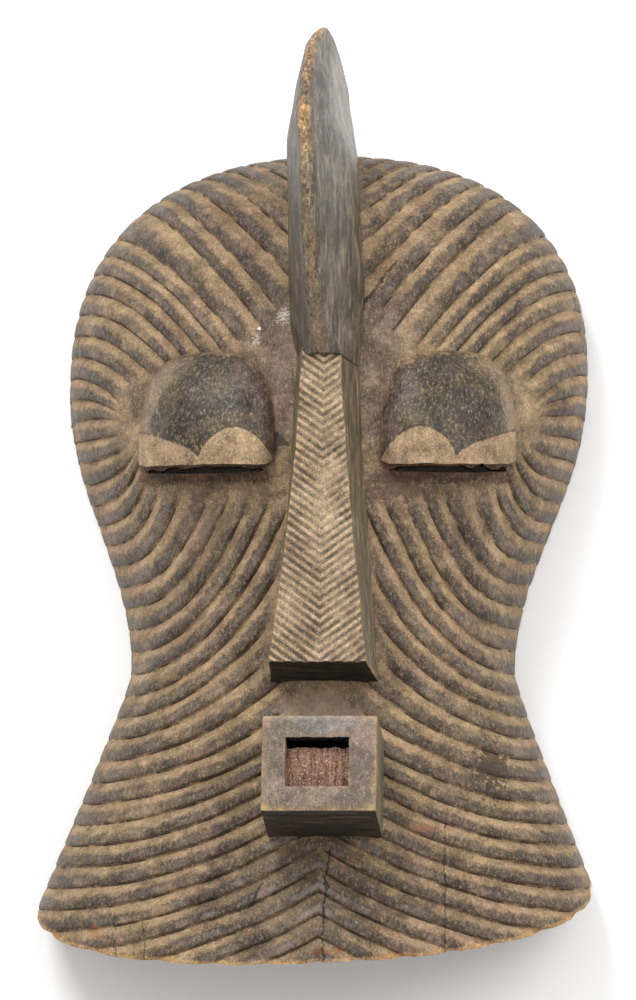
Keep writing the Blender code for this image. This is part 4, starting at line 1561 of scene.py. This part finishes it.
crestFinish = {
    "side": ("#352D24", "#5E5447", "#8C8171"),
    "foot": ("#362F20", "#5C5238", "#857A58"),       # near the face it turns olive
    "sheen": "#A29A92",
    "gold": ("#5A4328", "#AB8452", "#F0CE98", 0.95),
    "goldReach": 7.0,        # millimetres from the ridge
    "pits": "#2A1F14",
    "pitAmount": 0.8,
    "roughness": (0.42, 0.58),       # least and most
}


def makeCrestFinish():
    material, tree, shader = newFinish("crestWood", 0.4)
    streak = noiseNode(tree, 520.0, 4.0, 0.75, stretch=(1.0, 0.08, 0.30))
    broad = noiseNode(tree, 60.0, 6.0, 0.75, stretch=(1.0, 0.35, 1.0))
    patch = ramp(tree, broad, 0.36, 0.64)
    fleck = ramp(tree, streak, 0.46, 0.68, 0.0, 0.75)
    side = threeTones(tree, crestFinish["side"], patch, fleck)
    foot = threeTones(tree, crestFinish["foot"], patch, fleck)
    colour = mixColour(tree, attribute(tree, "lowness"), side, foot)
    # Painted highlight on the crest's head.
    sheen = times(tree, attribute(tree, "crestHead"), ramp(tree, broad, 0.3, 0.7, 0.1, 0.8))
    colour = mixColour(tree, sheen, colour, shade(crestFinish["sheen"]))
    # Painted shade on the crest's faces turned towards -X.
    colour = mixColour(tree, ramp(tree, facing(tree)["X"], -0.35, -0.85, 0.0, 0.45), colour,
                       shade(crestFinish["side"][0]))
    # Rubbed gold along the ridge, with dark pits in it.
    ridge = attribute(tree, "ridge")
    rough = noiseNode(tree, 120.0, 6.0, 0.8)
    ridge = plus(tree, ridge, timesPlus(tree, rough, 7.0, -3.5))
    mask = ramp(tree, ridge, crestFinish["goldReach"], 1.8)
    worn = ramp(tree, noiseNode(tree, 34.0, 4.0, 0.7), 0.34, 0.60, 0.35, 1.0)
    worn = times(tree, worn, attribute(tree, "ridgeWear"))
    gold = mottle(tree, *crestFinish["gold"])
    colour = mixColour(tree, times(tree, mask, worn), colour, gold)
    pits = noiseNode(tree, 420.0, 4.0, 0.75, stretch=(1.0, 0.4, 1.0))
    pits = times(tree, ramp(tree, pits, 0.53, 0.64), ramp(tree, ridge, 7.5, 4.0))
    dark = times(tree, pits, crestFinish["pitAmount"])
    colour = mixColour(tree, dark, colour, shade(crestFinish["pits"]))
    relief = placeGroup(tree, reliefGroup, Pores=0.5, Dents=0.7)["Height"]
    relief = timesPlus(tree, streak, 0.5, relief)
    relief = timesPlus(tree, pits, -0.8, relief)
    roughness = ramp(tree, rough, 0.35, 0.65, *crestFinish["roughness"])
    finishSurface(tree, shader, colour, roughness, relief, 0.55)
    return material


noseFinish = {
    "front": ("#7D6A52", "#A8927A", "#CDB899", 0.6),
    "cut": ("#3E342A", "#5E5244", "#8A7A66", 0.7),
    "side": ("#4E4636", "#7A6C53", "#978A6C"),
    "worn": "#D2A566",
    "wear": {"Amount": 0.9, "Start": 0.10, "Full": 0.30},    # sharpness where it starts
    "roughness": 0.58,
}


def makeNoseFinish():
    material, tree, shader = newFinish("noseWood")
    front = mottle(tree, *noseFinish["front"])
    rough = timesPlus(tree, noiseNode(tree, 320.0, 4.0, 0.75), 0.7, -0.35)
    cut = ramp(tree, plus(tree, attribute(tree, "chevron"), rough), 0.20, 0.70)
    dusty = ramp(tree, noiseNode(tree, 70.0, 5.0, 0.7), 0.40, 0.66, 0.95, 0.30)
    colour = mixColour(tree, times(tree, cut, dusty), front, mottle(tree, *noseFinish["cut"]))
    streak = noiseNode(tree, 420.0, 4.0, 0.7, stretch=(1.0, 0.10, 1.0))
    side = threeTones(tree, noseFinish["side"], ramp(tree, streak, 0.36, 0.66),
                      ramp(tree, streak, 0.58, 0.72))
    flank = ramp(tree, facing(tree)["Z"], 0.80, 0.60)
    colour = mixColour(tree, flank, colour, side)
    wear = placeGroup(tree, wearGroup, **noseFinish["wear"])["Mask"]
    colour = mixColour(tree, wear, colour, shade(noseFinish["worn"]))
    # Painted shade on the nose's faces turned towards the chin.
    colour = shadeUnderside(tree, colour, 1.0)
    relief = placeGroup(tree, reliefGroup, Pores=0.5, Dents=0.6)["Height"]
    finishSurface(tree, shader, colour, noseFinish["roughness"], relief, 0.6)
    return material


mouthFinish = {
    "front": ("#564A40", "#7F6F61", "#A4937F", 0.55),
    "cool": ("#66635F", "#8C8984", "#A8A49C", 0.4),
    "coolPatch": {"place": (0.012, -0.160), "reach": (0.020, 0.007), "ragged": 1.0,
                  "scale": 120.0},
    "coolAmount": 0.75,
    "side": ("#4E4636", "#7E7157"),
    "worn": "#C9A468",
    "wear": {"Amount": 0.85, "Start": 0.05, "Full": 0.33},
    "roughness": 0.5,
}


def makeMouthFinish():
    material, tree, shader = newFinish("mouthWood", 0.45)
    front = mottle(tree, *mouthFinish["front"])
    cool = mottle(tree, *mouthFinish["cool"])
    patch = spotMask(tree, mouthFinish["coolPatch"])
    colour = mixColour(tree, times(tree, patch, mouthFinish["coolAmount"]), front, cool)
    streak = noiseNode(tree, 420.0, 4.0, 0.7, stretch=(1.0, 0.12, 1.0))
    side = mixColour(tree, ramp(tree, streak, 0.38, 0.66), shade(mouthFinish["side"][0]),
                     shade(mouthFinish["side"][1]))
    flank = ramp(tree, facing(tree)["Z"], 0.75, 0.45)
    colour = mixColour(tree, flank, colour, side)
    wear = placeGroup(tree, wearGroup, **mouthFinish["wear"])["Mask"]
    rubbed = ramp(tree, noiseNode(tree, 75.0, 4.0, 0.7), 0.40, 0.60, 0.40, 1.0)
    colour = mixColour(tree, times(tree, wear, rubbed), colour, shade(mouthFinish["worn"]))
    # Painted shade on the mouth's faces turned towards the chin.
    colour = shadeUnderside(tree, colour, 0.97)
    relief = placeGroup(tree, reliefGroup, Pores=0.5, Dents=0.5)["Height"]
    finishSurface(tree, shader, colour, mouthFinish["roughness"], relief, 0.5)
    return material


eyelidFinish = {
    "dome": ("#1E1914", "#443B32", "#857A6C", 0.75),
    "olive": ("#2C2516", "#5C5038", "#8A7E5A", 0.9),
    "flank": ("#65553F", "#8A745A", "#A8917A", 0.8),
    "inner": ("#332A25", "#5E5048", "#8A7A70", 0.8),
    "lobe": ("#7A674E", "#A08A6E", "#BCA588", 0.6),
    "worn": ("#7A3E22", "#C07A48", "#E0B080", 0.9),
    # tones of the painted shade under the lids
    "under": ("#2A1A12", "#553A2A", "#7E5F48", 0.8),
    "line": "#2A221C",
    "oliveAmount": 0.85,
    "flankAmount": 0.85,
    "wear": {"Amount": 0.9, "Start": 0.14, "Full": 0.36},
    "roughness": (0.36, 0.65),       # of the dome and of the lobes
}


def makeEyelidFinish():
    material, tree, shader = newFinish("eyelidWood", 0.28)
    dome = mottle(tree, *eyelidFinish["dome"])
    olive = mottle(tree, *eyelidFinish["olive"])
    patch = ramp(tree, noiseNode(tree, 42.0, 6.0, 0.75), 0.44, 0.60)
    patch = times(tree, patch, eyelidFinish["oliveAmount"])
    colour = mixColour(tree, patch, dome, olive)
    rough = noiseNode(tree, 150.0, 5.0, 0.75)
    stray = mathNode(tree, "SUBTRACT", rough, 0.5)
    rim = timesPlus(tree, stray, 0.30, attribute(tree, "eyeRim"))
    outer = ramp(tree, attribute(tree, "eyeSide"), 0.2, 0.7)
    inner = times(tree, ramp(tree, rim, 0.68, 0.82),
                  ramp(tree, attribute(tree, "eyeSide"), -0.3, -0.6))
    colour = mixColour(tree, inner, colour, mottle(tree, *eyelidFinish["inner"]))
    bare = times(tree, ramp(tree, rim, 0.76, 0.90), outer)
    bare = mathNode(tree, "MAXIMUM", bare, ramp(tree, rim, 0.95, 1.00))
    bare = times(tree, bare, eyelidFinish["flankAmount"])
    colour = mixColour(tree, bare, colour, mottle(tree, *eyelidFinish["flank"]))
    # Pale lobes with a dark line along their upper edge.
    lobe = attribute(tree, "lobe")
    mask = ramp(tree, timesPlus(tree, stray, 3.6, lobe), -0.25, 0.45)
    grime = ramp(tree, noiseNode(tree, 110.0, 6.0, 0.75), 0.50, 0.68, 1.0, 0.35)
    pale = mottle(tree, *eyelidFinish["lobe"])
    colour = mixColour(tree, times(tree, mask, grime), colour, pale)
    line = mathNode(tree, "ABSOLUTE", mathNode(tree, "SUBTRACT", lobe, 0.2))
    line = ramp(tree, timesPlus(tree, stray, 3.0, line), 1.1, 0.2, 0.0, 0.65)
    colour = mixColour(tree, line, colour, shade(eyelidFinish["line"]))
    wear = placeGroup(tree, wearGroup, **eyelidFinish["wear"])["Mask"]
    redden = times(tree, wear, ramp(tree, lobe, 6.0, 14.0))
    colour = mixColour(tree, redden, colour, mottle(tree, *eyelidFinish["worn"]))
    # Painted shade, reddish brown, on the faces turned towards the chin.
    colour = mixColour(tree, ramp(tree, facing(tree)["Y"], -0.55, -0.85, 0.0, 0.8), colour,
                       mottle(tree, *eyelidFinish["under"]))
    relief = placeGroup(tree, reliefGroup, Pores=0.6, Dents=0.8)["Height"]
    relief = timesPlus(tree, mask, 0.8, relief)
    roughness = ramp(tree, mask, 0.0, 1.0, *eyelidFinish["roughness"], "LINEAR")
    finishSurface(tree, shader, colour, roughness, relief, 0.65)
    return material


rawFinishes = {
    "hollow": {"name": "hollowWood", "dark": "#5A4128", "light": "#8E6D48",
               "stretch": (1.0, 0.06, 1.0), "scale": 240.0, "roughness": 0.75,
               "specular": 0.3},
    "chin": {"name": "cutEndWood", "dark": "#7D5B38", "light": "#B48C5C",
             "stretch": (1.0, 1.0, 0.5), "scale": 420.0, "roughness": 0.75,
             "specular": 0.3},
    # near black: painted shade inside the slits
    "slitShade": {"name": "slitShadeWood", "dark": "#050403", "light": "#1C130C",
             "stretch": (1.0, 0.3, 1.0), "scale": 300.0, "roughness": 1.0,
             "specular": 0.0},
}


def makeRawFinish(name, dark, light, stretch, scale, roughness, specular):
    # Bare wood, where a tool has cut it and no patina has formed; the near-black slit version is
    # painted shade.
    material, tree, shader = newFinish(name, specular)
    grain = noiseNode(tree, scale, 5.0, 0.65, stretch=stretch)
    tone = ramp(tree, grain, 0.32, 0.68)
    broad = ramp(tree, noiseNode(tree, 45.0, 4.0, 0.6), 0.3, 0.7, 0.75, 1.1)
    colour = mixColour(tree, tone, shade(dark), shade(light))
    colour = vectorNode(tree, "SCALE", colour, scale=broad)
    finishSurface(tree, shader, colour, roughness, grain, 0.8)
    return material


recessFinish = {
    "grain": ("#42291E", "#98735E"),
    "pale": "#D9BCA4",
    "deep": "#3A241A",
    "ceilingShade": "#0C0806",
    "roughness": 0.8,
}


def makeRecessFinish():
    # Raw wood split along the grain, with painted shade under the upper edge.
    material, tree, shader = newFinish("recessWood")
    grain = noiseNode(tree, 560.0, 5.0, 0.8, stretch=(1.0, 0.10, 1.0))
    flecks = noiseNode(tree, 900.0, 3.0, 0.8)
    dark, light = [shade(tone) for tone in recessFinish["grain"]]
    colour = mixColour(tree, ramp(tree, grain, 0.34, 0.60), dark, light)
    colour = mixColour(tree, ramp(tree, flecks, 0.54, 0.66, 0.0, 0.8), colour,
                       shade(recessFinish["pale"]))
    colour = mixColour(tree, ramp(tree, flecks, 0.45, 0.36, 0.0, 0.7), colour,
                       shade(recessFinish["deep"]))
    rough = noiseNode(tree, 300.0, 4.0, 0.7)
    # Painted shade on the faces turned towards the chin.
    ceilingShade = ramp(tree, facing(tree)["Y"], -0.4, -0.7)
    colour = mixColour(tree, ceilingShade, colour, shade(recessFinish["ceilingShade"]))
    finishSurface(tree, shader, colour, recessFinish["roughness"],
                  plus(tree, grain, rough), 1.0)
    return material


finishes = {
    "face": makeFaceFinish(),
    "crest": makeCrestFinish(),
    "nose": makeNoseFinish(),
    "mouth": makeMouthFinish(),
    "eyelid": makeEyelidFinish(),
    "hollow": makeRawFinish(**rawFinishes["hollow"]),
    "chin": makeRawFinish(**rawFinishes["chin"]),
    "recess": makeRecessFinish(),
    "slitShade": makeRawFinish(**rawFinishes["slitShade"]),
}
finishOrder = list(finishes)
sharpAngle = math.radians(50)


def finishPiece(mesh):
    mesh.materials.clear()
    for name in finishOrder:
        mesh.materials.append(finishes[name])
    for polygon, region in zip(mesh.polygons, faceRegions):
        polygon.material_index = finishOrder.index(regionNames[region])
        polygon.use_smooth = True
    mesh.set_sharp_from_angle(angle=sharpAngle)


finishPiece(joined)
print("finishes made")

mask = bpy.data.objects.new("carvedMask", joined)
bpy.context.scene.collection.objects.link(mask)
for item in [blank, bareBlank, chevrons] + raised + removed:
    bpy.data.objects.remove(item, do_unlink=True)
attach(mask, "root")
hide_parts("mask")

# Camera, floor and light

view = {
    "side": math.tan(math.radians(4.5)),
    "tilt": math.tan(math.radians(18.0)),
    "roll": math.radians(1.1),
    "target": (0.0, 0.0, 0.060),       # middle of the picture, in the carving's own place
    "distance": 3.0,
    "frameHeight": 0.585,
    "sensor": 36.0,
    "farthest": 20.0,
}


def makeCamera():
    away = Vector((view["side"], -view["tilt"], 1.0)).normalized()
    right = Vector((0.0, 1.0, 0.0)).cross(away).normalized()
    up = away.cross(right)
    turnedRight = right * math.cos(view["roll"]) + up * math.sin(view["roll"])
    turnedUp = up * math.cos(view["roll"]) - right * math.sin(view["roll"])
    target = Vector(view["target"]) + Vector((shift.x, shift.y, 0.0))
    data = bpy.data.cameras.new("camera")
    data.sensor_fit = "VERTICAL"
    data.sensor_height = view["sensor"]
    data.lens = view["sensor"] * view["distance"] / view["frameHeight"]
    data.clip_end = view["farthest"]
    camera = bpy.data.objects.new("camera", data)
    rotation = Matrix((turnedRight, turnedUp, away)).transposed().to_4x4()
    camera.matrix_world = Matrix.Translation(target + away * view["distance"]) @ rotation
    bpy.context.scene.collection.objects.link(camera)
    bpy.context.scene.camera = camera


ground = {
    "size": 4.0,
    "drop": 0.0005,          # just below the rim
    "colour": (0.96, 0.96, 0.96, 1.0),
    "roughness": 0.9,
}


def makeFloor():
    bm = bmesh.new()
    bmesh.ops.create_grid(bm, x_segments=1, y_segments=1, size=ground["size"])
    mesh = bpy.data.meshes.new("floor")
    bm.to_mesh(mesh)
    bm.free()
    floor = bpy.data.objects.new("floor", mesh)
    floor.location = (0.0, 0.0, -ground["drop"])
    material, tree, shader = newFinish("paleFloor")
    feed(tree, shader, Base_Color=ground["colour"], Roughness=ground["roughness"])
    mesh.materials.append(material)
    bpy.context.scene.collection.objects.link(floor)


lamps = {
    "key": {"place": (-0.9, 1.5, 2.1), "size": 1.0, "power": 46.0},
    "fill": {"place": (1.5, 0.5, 1.9), "size": 1.4, "power": 24.0},
}
worldStrength = 0.80


def makeLamp(name, place, size, power):
    data = bpy.data.lights.new(name, "AREA")
    data.size = size
    data.energy = power
    lamp = bpy.data.objects.new(name, data)
    lamp.location = place
    lamp.rotation_euler = Vector(place).to_track_quat("Z", "Y").to_euler()
    bpy.context.scene.collection.objects.link(lamp)


def makeWorld():
    world = bpy.data.worlds.new("studio")
    world.use_nodes = True
    back = world.node_tree.nodes["Background"]
    back.inputs["Color"].default_value = (1.0, 1.0, 1.0, 1.0)
    back.inputs["Strength"].default_value = worldStrength
    bpy.context.scene.world = world
    bpy.context.scene.view_settings.view_transform = "Standard"


makeCamera()
makeFloor()
for name, lamp in lamps.items():
    makeLamp(name, **lamp)
makeWorld()
